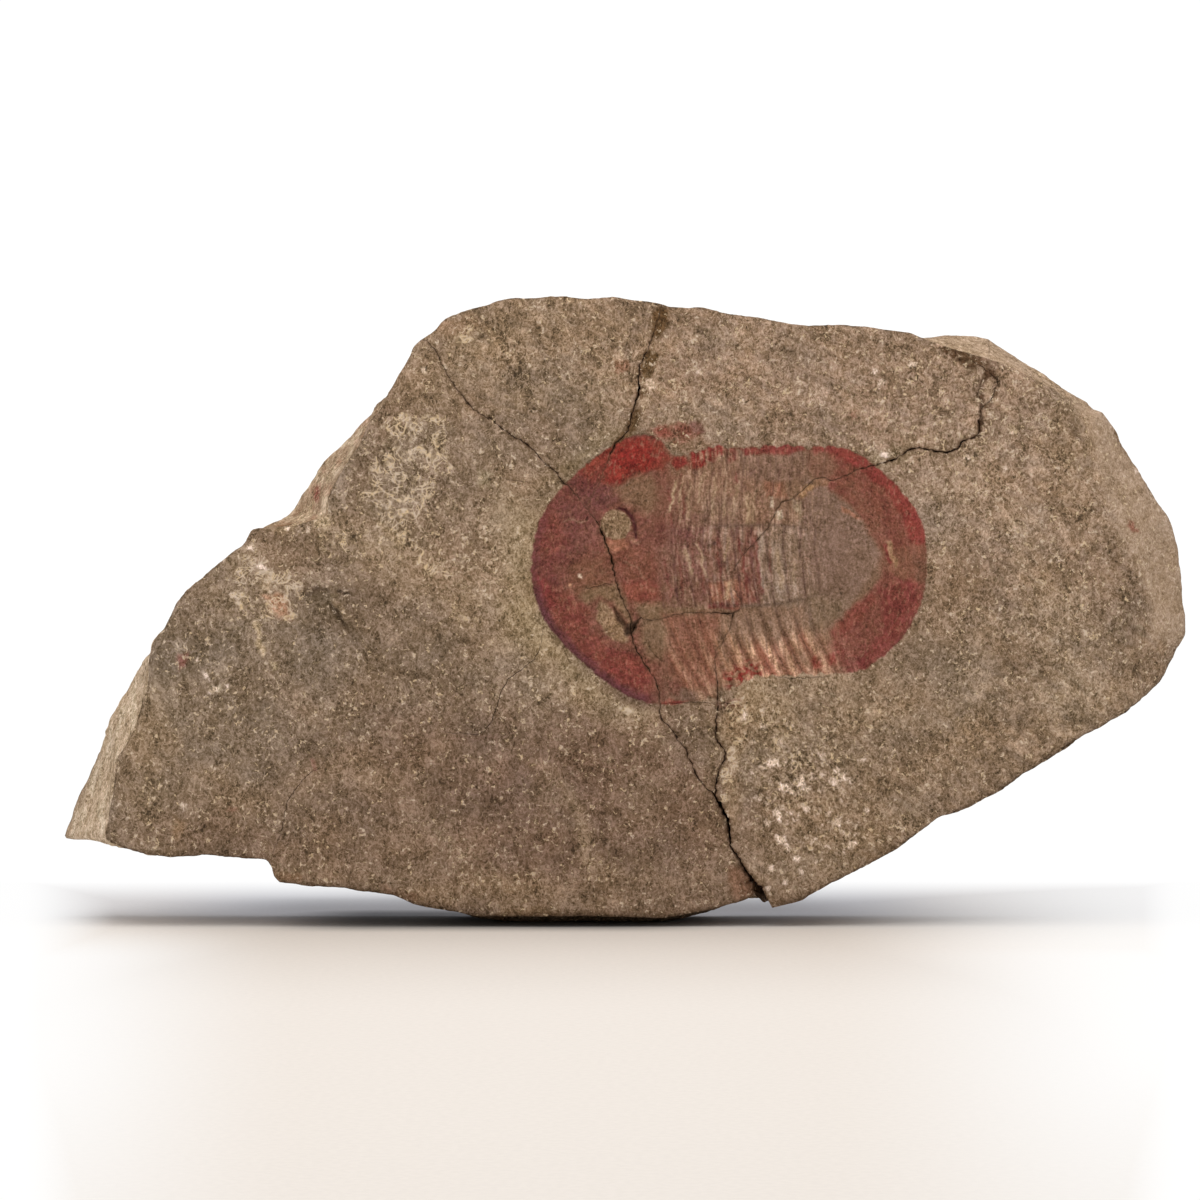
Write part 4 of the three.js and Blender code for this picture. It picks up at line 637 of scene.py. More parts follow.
    ([(712, 541), (716, 541), (716, 545), (712, 545)], (60, 44, 38), 0.8, 1), ([(770, 502), (774, 502), (774, 507), (770, 507)], (214, 196, 174), 0.8, 0.9),
    ([(776, 512), (782, 511), (782, 519), (777, 519)], (206, 192, 170), 0.85, 1), ([(769, 497), (772, 497), (772, 500), (769, 500)], (220, 200, 176), 0.8, 0.8),
    ([(828, 642), (846, 648), (872, 664), (862, 678), (842, 674), (832, 662)], (121, 60, 54), 0.85, 5),
]
RED_STREAKS = [([(668, 486), (670, 512), (672, 530)], 1.6, 0.5), ([(681, 470), (684, 496), (682, 520)], 1.3, 0.5), ([(738, 532), (742, 560), (748, 596)], 1.8, 0.7),
               ([(754, 532), (757, 560), (762, 598)], 1.6, 0.75), ([(716, 532), (718, 566), (722, 600)], 1.4, 0.5), ([(700, 535), (700, 560), (705, 596)], 1.4, 0.4),
               ([(769, 545), (771, 576)], 1.2, 0.45), ([(735, 470), (737, 486)], 1.2, 0.6), ([(676, 545), (680, 570), (684, 602)], 1.5, 0.45),
               ([(664, 556), (668, 580), (672, 602)], 1.5, 0.4), ([(690, 540), (694, 570)], 1.2, 0.3)]
PALE_STREAKS = [([(676, 478), (672, 500), (668, 514)], 1.3, 0.8), ([(684, 474), (680, 492), (679, 506)], 1.1, 0.6), ([(705, 470), (700, 490), (697, 506)], 1.2, 0.5),
                ([(683, 545), (688, 560), (693, 578)], 1.6, 0.6), ([(697, 540), (702, 560), (706, 580)], 1.6, 0.55), ([(716, 472), (713, 500), (712, 520)], 1.4, 0.45),
                ([(730, 534), (726, 552), (722, 564)], 1.6, 0.55), ([(745, 494), (748, 512), (746, 526)], 1.6, 0.6), ([(728, 478), (724, 500), (722, 522)], 1.2, 0.4),
                ([(738, 480), (735, 504), (733, 524)], 1.2, 0.4), ([(757, 486), (754, 505), (752, 524)], 1.2, 0.4), ([(690, 480), (690, 500), (688, 520)], 1.1, 0.4),
                ([(729, 580), (727, 592), (728, 600)], 2.0, 0.6), ([(776, 545), (779, 570), (782, 592)], 2.2, 0.45), ([(792, 560), (795, 590)], 1.6, 0.3),
                ([(560, 522), (572, 520), (590, 522)], 1.0, 0.25), ([(622, 560), (640, 570), (650, 585)], 1.0, 0.2)]


def paint(u, v, f):
    """Colour of the front face, and how much of the worn, fine-grained shell there is."""
    c = stone_colour(u, v, f)
    ru = u + 4.5 * perlin(u / 13, v / 13, 0, 231) + 2.0 * perlin(u / 4, v / 4, 0, 232)
    rv = v + 4.5 * perlin(u / 13, v / 13, 0, 233) + 2.0 * perlin(u / 4, v / 4, 0, 234)
    for pts, col, amount, soft in MARKS:
        c = blend(c, rgb(*col), amount * patch(ru, rv, pts, soft))
    bu, bv = u + 2.2 * perlin(u / 6, v / 6, 0, 235) + 1.2 * perlin(u / 2.6, v / 2.6, 0, 236), v + 2.2 * perlin(u / 6, v / 6, 0, 237) + 1.2 * perlin(u / 2.6, v / 2.6, 0, 238)
    for pts, col, amount, soft in JOINT_FILLS_AND_SHADE:
        c = blend(c, rgb(*col), min(1, 1.3 * amount) * patch(bu, bv, pts, 0.8 * soft))
    # left of the trilobite's head the stone next to it is a shade more olive
    c = blend(c, c * np.array([0.985, 1.0, 0.95]), smooth(-40, -4, f["t"]) * (1 - smooth(560, 620, u)))
    # scattered scales and veins of a pale mineral
    vein = np.abs(fbm(u / 26, v / 21, 0, 3, 241))
    c = blend(c, rgb(166, 148, 124), 0.55 * (1 - smooth(0.0, 0.035, vein)) * smooth(0.0, 0.35, perlin(u / 60, v / 60, 0, 245)) * (1 - f["in"]))
    flakes = smooth(0.26, 0.40, perlin(u / 5.5, v / 5.0, 0, 251) + 0.6 * perlin(u / 2.5, v / 2.4, 0, 252))
    many = np.zeros(u.shape)
    for cu, cv, ru_, rv_, k in ((405, 465, 60, 55, 1.0), (400, 530, 60, 30, 0.6), (250, 590, 55, 50, 0.6), (790, 770, 75, 75, 0.75), (850, 830, 70, 50, 0.5),
                                (220, 680, 50, 50, 0.4), (330, 700, 120, 60, 0.35), (470, 560, 60, 60, 0.5), (960, 420, 200, 90, 0.45), (520, 690, 60, 40, 0.45),
                                (700, 370, 240, 60, 0.35), (1060, 620, 120, 150, 0.35), (500, 850, 200, 60, 0.22), (830, 720, 90, 40, 0.5)):
        many = np.maximum(many, k * bell((u - cu) / ru_, 1) * bell((v - cv) / rv_, 1))
    c = blend(c, rgb(184, 162, 138), flakes * many * 0.9 * (1 - f["in"]))
    # white to pink flecks below the tail
    cluster = np.maximum(bell((u - 798) / 62, 1) * bell((v - 790) / 42, 1), 0.8 * bell((u - 830) / 50, 1) * bell((v - 835) / 30, 1))
    grains = smooth(0.30, 0.42, perlin(u / 4.6, v / 4.2, 0, 257) + 0.5 * perlin(u / 2.3, v / 2.2, 0, 258) + 0.22 * cluster - 0.06)
    c = blend(c, rgb(222, 198, 182), 0.8 * grains * smooth(0.25, 0.7, cluster) * smooth(-0.08, 0.22, perlin(u / 16, v / 13, 0, 259)))
    ragged = 1.9 * perlin(u / 2.4, v / 2.4, 0, 255)
    for cu, cv, size, k in FLECKS:
        d = np.hypot(ru - cu, rv - cv)
        c = blend(c, rgb(240, 216, 200), min(1, 1.25 * k) * (1 - smooth(size - 0.8, size + 1.6, d + ragged)))
    # ---- the trilobite
    s = np.ones(u.shape + (3,)) * rgb(128, 92, 75)
    wu, wv = f["wu"] + 2.6 * perlin(u / 11, v / 11, 0, 261), f["wv"] + 2.6 * perlin(u / 11, v / 11, 0, 262)
    for pts, col, amount, soft in SHELL_MARKS:
        s = blend(s, rgb(*col), amount * patch(wu, wv, pts, soft))
    t, share, phase, across = f["t"], f["share"], f["phase"], f["across"]
    # side ribs below the axis: pale backs that brighten towards the tips, thin brown furrows, red tips
    fine = perlin(u / 1.9 - 0.05 * np.clip(v - 568, 0, None) ** 1.25 / 1.9, v / 15, 0, 276)
    fine2 = perlin(u / 3.6 - 0.05 * np.clip(v - 568, 0, None) ** 1.25 / 3.6, v / 24, 0, 277)
    far_out = smooth(1.6, 2.35, across)
    zone = f["rib"] * f["low"] * (0.22 + 0.78 * smooth(3.4, 4.6, phase)) * (1 - 0.75 * smooth(8.6, 10.0, phase)) * (1 - smooth(11.2, 12.6, phase)) * (0.75 + 0.8 * perlin(phase * 0.9, v / 40, 0, 278))
    backs = smooth(0.14, 0.42, share) * (1 - smooth(0.64, 0.9, share))
    s = blend(s, rgb(168, 136, 116), 0.55 * zone * smooth(1.1, 1.6, across) * backs)
    s = blend(s, rgb(192, 136, 112), 0.62 * zone * smooth(1.9, 2.5, across))
    s = blend(s, rgb(238, 192, 162), 1.0 * zone * far_out * backs * smooth(-0.3, 0.2, fine2 + 0.6 * fine))
    s = blend(s, rgb(150, 84, 66), 0.55 * zone * far_out * (1 - backs))
    s = blend(s, rgb(86, 60, 48), 0.62 * f["rib"] * f["low"] * smooth(1.0, 1.2, across) * bell(np.minimum(share, 1 - share), 0.075) * (0.6 + 0.4 * smooth(3.0, 4.4, phase)) * (1 - 0.6 * smooth(9.4, 10.8, phase)) * smooth(-0.5, 0.1, perlin(phase * 0.8, v / 22, 0, 279)))
    s = blend(s, rgb(164, 118, 92), 0.5 * f["rib"] * f["low"] * smooth(1.3, 1.8, across) * (1 - smooth(4.5, 5.5, phase)) * bell(share - 0.45, 0.13) * smooth(2.2, 3, phase))
    tips = f["rib"] * f["low"] * (1 - smooth(10, 21, t)) * smooth(2.3, 3.1, phase) * (1 - smooth(5.0, 6.2, phase))
    s = blend(s, rgb(136, 46, 42), 0.9 * tips * smooth(-0.05, 0.2, 0.10 + perlin(u / 6, v / 5, 0, 273)) * (1 - 0.55 * backs * smooth(0.0, 0.3, fine2)))
    s = blend(s, rgb(136, 44, 42), 0.7 * patch(wu, wv, [(811, 659), (817, 655), (822, 664), (813, 668)], 3.5) + 0.6 * patch(wu, wv, [(827, 658), (833, 654), (837, 660), (829, 665)], 3))
    # rings of the axis and the upper ribs: thin dark furrows, pale strokes beside them
    ring = f["rib"] * f["axis"]
    line = bell(np.minimum(share, 1 - share), 0.085)
    s = blend(s, rgb(88, 60, 54), 0.62 * ring * line)
    s = blend(s, rgb(170, 148, 132), 0.62 * ring * bell(share - 0.40, 0.14) * smooth(-0.2, 0.3, fine2) * smooth(3, 5, phase) * (1 - 0.6 * smooth(9, 11, phase)))
    s = blend(s, rgb(96, 58, 58), 0.40 * ring * smooth(0.05, 0.3, -fine) * (1 - smooth(7, 8.5, phase)))
    s = blend(s, rgb(168, 140, 124), 0.45 * ring * smooth(0.15, 0.4, fine) * smooth(1.2, 2.2, phase))
    upper = f["rib"] * f["high"]
    s = blend(s, rgb(92, 70, 58), 0.28 * upper * line)
    some = 0.55 + 0.9 * smooth(-0.3, 0.35, perlin(u / 13, v / 10, 0, 297))
    s = blend(s, rgb(174, 144, 122), 0.46 * some * upper * smooth(0.08, 0.34, fine + 0.5 * fine2) * (1 - 0.75 * smooth(744, 760, u) * (1 - smooth(484, 496, v))))
    s = blend(s, rgb(100, 68, 58), 0.38 * some * upper * smooth(0.1, 0.34, -fine - 0.4 * fine2))
    s = blend(s, rgb(90, 70, 60), 0.50 * f["rib"] * bell(np.abs(across) - 1.03, 0.05) * smooth(4, 5, phase) * (1 - smooth(11, 13, phase)))
    s = blend(s, rgb(112, 68, 62), 0.40 * ring * (1 - smooth(700, 716, u)) * smooth(-0.3, 0.2, perlin(u / 12, v / 12, 0, 301)))
    s = s * (1 + (0.34 - 0.12 * upper) * fine * smooth(655, 668, u) * (1 - 0.65 * smooth(806, 826, u)))[..., None]
    for lines, col in ((RED_STREAKS, (112, 46, 42)), (PALE_STREAKS, (190, 164, 134))):
        for pts, wide, amount in lines:
            d, at = near_line(wu, wv, pts, 8)
            s = blend(s, rgb(*col), amount * bell(d, wide) * smooth(0, 0.15, at) * (1 - smooth(0.85, 1, at)))
    # growth lines in the tail's and the head's borders
    lines = perlin(t / 1.7, 0.05 * u + 0.03 * v, 0, 281)
    border = (smooth(2, 6, t) * (1 - smooth(38, 46, t))) * np.maximum(smooth(815, 840, u), 1 - smooth(640, 660, u))
    s = s * (1 + 0.34 * lines * border)[..., None]
    # streaks across the head
    head = 1 - smooth(640, 668, u)
    s = s * (1 + 0.30 * head * perlin((u * 0.45 + v * 0.89) / 3.0, (u * 0.89 - v * 0.45) / 15, 0, 298) + 0.22 * head * perlin(u / 2.6, v / 3.4, 0, 299))[..., None]
    # the shell is blotched, more purple where it is thick and more red where it is rubbed
    blotch = fbm(u / 11, v / 9, 0, 3, 285)
    reddish = np.clip((s[..., 0] / np.maximum(s[..., 1], 1e-4) - 1.7) / 1.6, 0, 1)
    s = blend(s, s * np.array([0.84, 0.71, 0.77]), 0.8 * reddish * smooth(0.02, 0.42, blotch))
    s = blend(s, s * np.array([1.05, 1.12, 1.05]), 0.7 * reddish * smooth(0.02, 0.42, -blotch))
    scrape = smooth(0.22, 0.5, perlin(u / 2.1 + v / 12, v / 7.5 - u / 24, 0, 287) + 0.3 * perlin(u / 20, v / 20, 0, 288))
    s = blend(s, rgb(156, 110, 90), 0.5 * reddish * scrape)
    hair = np.abs(fbm(u / 9 + 0.4 * v / 9, v / 7, 0, 2, 289))
    s = blend(s, rgb(158, 116, 98), 0.42 * (1 - smooth(0.0, 0.03, hair)) * smooth(-0.1, 0.25, perlin(u / 24, v / 24, 0, 290)) * (1 - f["rib"] * f["low"]))
    # dark purple skin along the outline; along the lower left edge, which faces down, this darkening is partly painted
    # shade
    rim_skin_and_shade = (1 - smooth(2.0, 13, t + 2.5 * perlin(u / 9, v / 9, 0, 282)))
    low_left = smooth(575, 600, v) * (1 - smooth(640, 660, u))
    s = blend(s, rgb(90, 50, 57), 0.8 * rim_skin_and_shade * low_left)
    s = blend(s, rgb(96, 54, 58), 0.55 * rim_skin_and_shade * (1 - smooth(600, 640, v)) * (1 - smooth(560, 580, u)) * smooth(500, 530, v))
    s = blend(s, rgb(104, 48, 46), 0.6 * (1 - smooth(1.5, 4, t)) * smooth(860, 900, u) * smooth(600, 640, v))
    high = 1 - smooth(560, 610, v)
    left = high * (1 - smooth(592, 622, u))
    s = s * np.stack([1 - 0.014 * high, 1 - 0.042 * high - 0.045 * left, 1 - 0.042 * high - 0.05 * left], -1) * (1 + 0.05 * zone * far_out)[..., None]
    # eyes
    s = blend(s, rgb(146, 119, 94), f["eye"] * 0.95)
    s = blend(s, rgb(176, 148, 120), 0.55 * f["eye"] * smooth(0.05, 0.35, perlin(u / 2.6, v / 2.6, 0, 291)))
    s = blend(s, rgb(112, 82, 64), 0.5 * np.maximum(f["eye"], f["eye_low"] * (1 - f["pit"])) * smooth(0.1, 0.38, perlin(u / 2.9, v / 2.9, 0, 292)))
    s = blend(s, rgb(72, 30, 32), np.clip(1.15 * f["eye_dark"], 0, 0.92))
    # skin gone: stone shows through in specks
    gone = smooth(0.33, 0.45, perlin(u / 5, v / 5, 0, 293) + 0.5 * perlin(u / 2.2, v / 2.2, 0, 294))
    s = blend(s, rgb(140, 112, 90), 0.30 * gone * (1 - 0.9 * reddish))
    c = c * (1 - f["in"])[..., None] + s * f["in"][..., None]
    return c

# ---------------------------------------------------------------- outlines
rim = np.array(RIM, float)
for k in (0, 3, 6):
    rim[:, k] = rim[:, k] / STEP + 624.5
for k in (2, 5, 8):
    rim[:, k] = 927.0 - rim[:, k] / STEP
rim = rim[:, [0, 2, 1, 3, 5, 4, 6, 8, 7]]          # u, v, depth of the front, widest and back edge
# the slab stands on a strip behind its lower front edge; at the strip's two ends the underside rises again
rim[82:91, 5] = 13.0
for k, lift in ((82, 2.3), (83, 0.6), (89, 0.5), (90, 2.2)):
    rim[k, 4] = 927.0 - lift / STEP
    rim[k, 7] = 927.0 - lift / STEP
ring = np.vstack([rim, rim[:1]])
ring_run = np.concatenate([[0], np.cumsum(np.hypot(*(ring[1:, :2] - ring[:-1, :2]).T))])
ROUND = ring_run[-1]


def ring_at(s):
    s = np.mod(np.asarray(s, float), ROUND)
    return np.stack([np.interp(s, ring_run, ring[:, k]) for k in range(9)], -1)


def ring_place(u, v):
    d = []
    for i in range(len(rim)):
        a, b = ring[i, :2], ring[i + 1, :2]
        w = b - a
        t = np.clip(np.dot([u - a[0], v - a[1]], w) / max(np.dot(w, w), 1e-9), 0, 1)
        d.append((np.hypot(u - a[0] - t * w[0], v - a[1] - t * w[1]), ring_run[i] + t * (ring_run[i + 1] - ring_run[i])))
    return min(d)[1]


def refine(pts, step):
    pts = np.asarray(pts, float)
    seg = np.hypot(*(pts[1:] - pts[:-1]).T)
    run = np.concatenate([[0], np.cumsum(seg)])
    s = np.linspace(0, run[-1], max(3, int(round(run[-1] / step)) + 1))
    return np.stack([np.interp(s, run, pts[:, 0]), np.interp(s, run, pts[:, 1])], -1), s


def rough_line(pts, step=1.5, ends=(True, True)):
    """A joint's middle line in short steps, as ragged as broken stone, with its normals and half width."""
    p, s = refine(pts, step)
    q = p.copy()
    for _ in range(3):
        q[1:-1] = (q[:-2] + 2 * q[1:-1] + q[2:]) / 4
    d = np.gradient(q, axis=0)
    d /= np.maximum(np.hypot(d[:, 0], d[:, 1]), 1e-9)[:, None]
    for _ in range(4):
        d[1:-1] = (d[:-2] + 2 * d[1:-1] + d[2:]) / 4
    d /= np.hypot(d[:, 0], d[:, 1])[:, None]
    n = np.stack([-d[:, 1], d[:, 0]], -1)
    fade = np.minimum(1, np.minimum(s, s[-1] - s) / 4)
    jag = 0.9 * perlin(p[:, 0] / 7.1, p[:, 1] / 7.1, 0, 301) + 0.9 * perlin(p[:, 0] / 3.3, p[:, 1] / 3.3, 0, 302)
    q = q + n * (jag * 1.45 * fade)[:, None]
    q[0], q[-1] = p[0], p[-1]
    w = np.array(GAPES)
    dist = np.hypot(q[:, None, 0] - w[None, :, 0], q[:, None, 1] - w[None, :, 1])
    k = 1 / (dist + 1.5) ** 3
    half = 0.5 * (k * w[None, :, 2]).sum(1) / k.sum(1)
    half *= np.clip(1 + 1.1 * perlin(q[:, 0] / 4.2, q[:, 1] / 4.2, 0, 303), 0.35, 1.8)
    return {"p": q, "n": n, "half": half}


def part_of(line, a, b):
    """The points of a list from a to b, both included."""
    i, j = line.index(a), line.index(b)
    return line[i:j + 1]


Q1, Q2, Q3, Q4, Q5 = (586, 508), (631, 634), (715, 796), (733, 613), (741, 601)
CUT_A, CUT_B, CUT_C = ring_place(420, 339), ring_place(662, 305.4), ring_place(988, 359)
MOUTH_LEFT, MOUTH_RIGHT = ring_place(756, 896), ring_place(772, 907)


def from_rim(cut, line):
    """A joint that starts at the rim: its middle line begins on the front edge, and the points outside are dropped."""
    start = ring_at(cut)[:2]
    inner = [p for p in line if signed(np.array([float(p[0])]), np.array([float(p[1])]), rim[:, :2])[0] > 2]
    return [tuple(start)] + inner


LINES = {
    "A1": rough_line(from_rim(CUT_A, part_of(A, A[0], Q1))), "A2": rough_line(part_of(A, Q1, Q2)), "A3": rough_line(part_of(A, Q2, Q3)),
    "B": rough_line(from_rim(CUT_B, B)), "C": rough_line(from_rim(CUT_C, C)), "D": rough_line(D), "E1": rough_line(part_of(E, Q2, Q4)),
    "E2": rough_line(part_of(E, Q4, Q5)), "J": rough_line(J[:-1] + [(763.5, 900.5)]),
}
CORNERS = {"A1": (None, Q1), "A2": (Q1, Q2), "A3": (Q2, Q3), "B": (None, Q1), "C": (None, Q5), "D": (Q4, Q3), "E1": (Q2, Q4), "E2": (Q4, Q5), "J": (Q3, None)}
# Each fragment's loop, clockwise from the front: ("rim", start, end) or a joint, "-" before one that is walked backwards.
LOOPS = {
    "left_slab": [("rim", MOUTH_LEFT, CUT_A), "A1", "A2", "A3", "J"],
    "top_wedge": [("rim", CUT_A, CUT_B), "B", "-A1"],
    "top_right": [("rim", CUT_B, CUT_C), "C", "-E2", "-E1", "-A2", "-B"],
    "right_slab": [("rim", CUT_C, MOUTH_RIGHT), "-J", "-D", "E2", "-C"],
    "small_wedge": ["-A3", "E1", "D"],
}
RIM_T = np.array([0, .018, .045, .08, .125, .18, .235, .29, .345, .4, .455, .51, .565, .62, .675, .73, .785, .84, .895, .95, 1.0])
BACK_T = np.array([.055, .11, .165, .22, .275, .33, .385, .44, .495, .55, .605, .66, .715, .77, .825, .88, .93, .97, 1.0])
JOINT_D = np.array([0, .25, .6, 1.1, 1.8, 2.8, 4.2, 6.2, 9, 12.5, 17, 21.5, 26.4])


def rim_front_depth(u, v, edge_fd, edge_d):
    """Depth of the bedding plane's edge: worn round at the rim, and tilted back on the right."""
    beyond = np.where(u > 1000, -side_of(u, v, TILT), -1)
    share = np.clip(beyond, 0, None) / np.maximum(np.clip(beyond, 0, None) + edge_d, 1e-6)
    tilt = np.clip(edge_fd - 0.4, 0, None) * share ** 1.15 * smooth(1.2, 2.5, edge_fd)
    worn = np.where(edge_fd < 2, edge_fd, 0.4) * np.exp(-(edge_d * STEP / 0.8) ** 1.2)
    return tilt + worn


def front_depth(u, v, f, left=None):
    """How far the front face lies behind the bedding plane at (u, v)."""
    d, at = line_distance(u, v, rim[:, :2], True)
    fd = np.interp(at * ROUND, ring_run, ring[:, 2])
    depth = rim_front_depth(u, v, fd, d) - front_height(u, v, f)
    depth += 0.35 * bell(d * STEP, 0.55) * (0.5 + 1.2 * np.clip(perlin(u / 9, v / 9, 0, 311), 0, 1))
    if left is not None and left.any():
        # the left fragment's edge has crumbled back beside the open joint
        dj, aj = near_line(u, v, LINES["J"]["p"], 40)
        wide = np.interp(aj, [0, 0.1, 0.16, 0.3, 0.42, 0.55, 0.68, 0.8, 1], [1, 2, 5, 6.5, 2.5, 3, 8, 17, 26])
        drop = np.interp(aj, [0, 0.1, 0.2, 0.35, 0.45, 0.55, 0.7, 0.85, 1], [0.2, 0.8, 1.6, 1.6, 0.6, 0.6, 1.8, 2.8, 3.4])
        amount = np.clip(1 - dj / wide, 0, 1)
        depth += np.where(left, drop * amount * (0.8 + 0.5 * perlin(u / 5, v / 5, 0, 312)), 0)
    return depth


def lamination(x, z, d):
    """Broken-edge relief of the slab's sides, in mm: layers of the bedding stand out unevenly."""
    layer = np.floor(d / 1.45 + 0.55 * perlin(x / 15, z / 15, 0, 321) + 0.25 * perlin(x / 4, z / 4, 0, 322))
    ledge = 0.9 * perlin(x / 7.5, z / 7.5, layer * 7.37, 323)
    return (0.55 * fbm(x / 8.5, z / 8.5, d / 6, 2, 324) + 0.42 * ledge + 0.26 * fbm(x / 2.6, z / 2.6, d / 0.8, 2, 326)
            + 0.10 * perlin(x / 0.9, z / 0.9, d / 0.5, 328))


def lean_right(v, d):
    return np.clip((d - 0.6) / 10, 0, 1) * (3.2 + 2.0 * smooth(740, 800, v) + 9.0 * smooth(866, 892, v))


def wander(u, v, d):
    """How a joint drifts sideways with depth, the same for both fragments."""
    k = np.clip(d / 6, 0, 1)
    lean = np.clip(d - 0.8, 0, 12)
    right = lean_right(v, d)
    down = -0.26 * lean * (1 - smooth(740, 780, v))
    return right + 2.0 * k * perlin(u / 19, v / 19, d / 6.0, 331), down + 2.0 * k * perlin(u / 19, v / 19, d / 6.0, 332)


def rim_columns(s0, s1, half):
    """Columns of points round the rim from s0 to s1, kept half a gap away from the joints: u, v, depth arrays."""
    if s1 < s0:
        s1 += ROUND
    s0, s1 = s0 + half, s1 - half
    knots = [k for k in np.concatenate([ring_run[:-1], ring_run[:-1] + ROUND]) if s0 + 0.8 < k < s1 - 0.8]
    stops = [s0] + knots + [s1]
    s = [s0]
    for a, b in zip(stops[:-1], stops[1:]):
        n = max(1, int(round((b - a) / 2.8)))
        s += list(a + (b - a) * np.arange(1, n + 1) / n)
    r = ring_at(s)
    # round the corners of the traced line a little, except at the joints
    for _ in range(2):
        r[1:-1] = (r[:-2] + 2 * r[1:-1] + r[2:]) / 4
    t1 = RIM_T[None, :]
    cols = []
    for k in range(3):
        one = r[:, k:k + 1] * (1 - t1) + r[:, 3 + k:4 + k] * t1
        t2 = BACK_T[None, :]
        # the side bulges before it turns in to the back edge
        bend = t2 ** 1.5 if k < 2 else t2
        two = r[:, 3 + k:4 + k] * (1 - bend) + r[:, 6 + k:7 + k] * bend
        cols.append(np.concatenate([one, two], 1))
    u, v, d = cols
    # under the foot the surface first runs straight back and then turns down to the floor
    foot = (smooth(900, 912, r[:, 1]) * smooth(440, 462, r[:, 0]) * (1 - smooth(700, 722, r[:, 0])))[:, None]
    late = smooth(0.5, 0.92, RIM_T)[None, :]
    n1 = len(RIM_T)
    kept = r[:, 1:2] - 1.5 * np.sin(np.pi * np.clip(RIM_T[None, :] * 1.6, 0, 1))
    v[:, :n1] = v[:, :n1] * (1 - foot) + foot * (kept * (1 - late) + r[:, 4:5] * late)
    # beside the open joint the broken edge leans over with depth, as the joint does
    mouth = np.exp(-(np.hypot(r[:, 0] - 764, r[:, 1] - 900) / 16.0) ** 2)[:, None]
    u = u + mouth * lean_right(v, d)
    if abs(s0 - half - MOUTH_LEFT) < 0.01:
        v = v + mouth * 7.5 * smooth(1.0, 6.0, d)
    for cut in (CUT_A, CUT_B, CUT_C):
        at = ring_at(cut)
        beside = np.exp(-(np.hypot(r[:, 0] - at[0], r[:, 1] - at[1]) / 14.0) ** 2)[:, None]
        u = u + beside * 3.4 * np.clip((d - 0.6) / 6, 0, 1)
    p = np.stack([to_x(u), to_z(v), d], -1)
    du = np.gradient(p, axis=0)
    dv = np.gradient(p, axis=1)
    n = np.cross(dv, du)
    n /= np.maximum(np.linalg.norm(n, axis=-1), 1e-9)[..., None]
    mid = np.array([to_x(720), to_z(570), 13.0])
    if ((p - mid) * n).sum(-1).mean() < 0:
        n = -n
    for _ in range(2):
        n[:, 1:-1] = (n[:, :-2] + 2 * n[:, 1:-1] + n[:, 2:]) / 4
        n[1:-1] = (n[:-2] + 2 * n[1:-1] + n[2:]) / 4
    edge = np.ones(p.shape[:2])
    edge[:, 0] = 0.75
    quiet = (smooth(840, 880, r[:, 0]) * (1 - smooth(1000, 1040, r[:, 0])) * (r[:, 1] < 420))[:, None]
    move = lamination(p[..., 0], p[..., 1], p[..., 2]) * edge * (0.85 - 0.45 * foot) * (1 - 0.6 * quiet)
    n_flat = n.copy()
    n_flat[..., 2] *= 0.6 * smooth(0.5, 3, p[..., 2])
    p = p + n_flat * move[..., None]
    p[..., 1] = np.maximum(p[..., 1], 0)
    return to_u(p[..., 0]), to_v(p[..., 1]), p[..., 2], s


def hex_grid(lo, hi, h, seed):
    rows = int((hi[1] - lo[1]) / (h * 0.866)) + 2
    cols = int((hi[0] - lo[0]) / h) + 2
    i, j = np.meshgrid(np.arange(cols), np.arange(rows))
    x = lo[0] + (i + 0.5 * (j % 2)) * h
    z = lo[1] + j * h * 0.866
    k = np.arange(x.size).reshape(x.shape)
    x = x + 0.13 * h * (_hash(k, k * 0, k * 0, seed) / 4294967296.0 * 2 - 1)
    z = z + 0.13 * h * (_hash(k, k * 0, k * 0, seed + 1) / 4294967296.0 * 2 - 1)
    return x.ravel(), z.ravel()


def keep_inside(x, z, loop):
    """Even-odd test of many points against a closed loop."""
    order = np.argsort(z, kind="stable")
    zs, xs = z[order], x[order]
    odd = np.zeros(x.size, bool)
    nxt = np.roll(loop, -1, 0)
    for (ax, az), (bx, bz) in zip(loop, nxt):
        if az == bz:
            continue
        a, b = np.searchsorted(zs, [min(az, bz), max(az, bz)], "left")
        if b > a:
            odd[a:b] ^= xs[a:b] < ax + (zs[a:b] - az) * (bx - ax) / (bz - az)
    out = np.zeros(x.size, bool)
    out[order] = odd
    return out


def clear_of(x, z, pts, gap):
    """Points that are at least about gap away from a set of points."""
    cell = gap / 1.5
    lo = np.array([min(x.min(), pts[:, 0].min()), min(z.min(), pts[:, 1].min())]) - 4 * cell
    w = int((max(x.max(), pts[:, 0].max()) - lo[0]) / cell) + 8
    h = int((max(z.max(), pts[:, 1].max()) - lo[1]) / cell) + 8
    near = np.zeros((h, w), bool)
    ix, iz = ((pts[:, 0] - lo[0]) / cell).astype(int), ((pts[:, 1] - lo[1]) / cell).astype(int)
    for a in (-1, 0, 1):
        for b in (-1, 0, 1):
            near[iz + a, ix + b] = True
    return ~near[((z - lo[1]) / cell).astype(int), ((x - lo[0]) / cell).astype(int)]


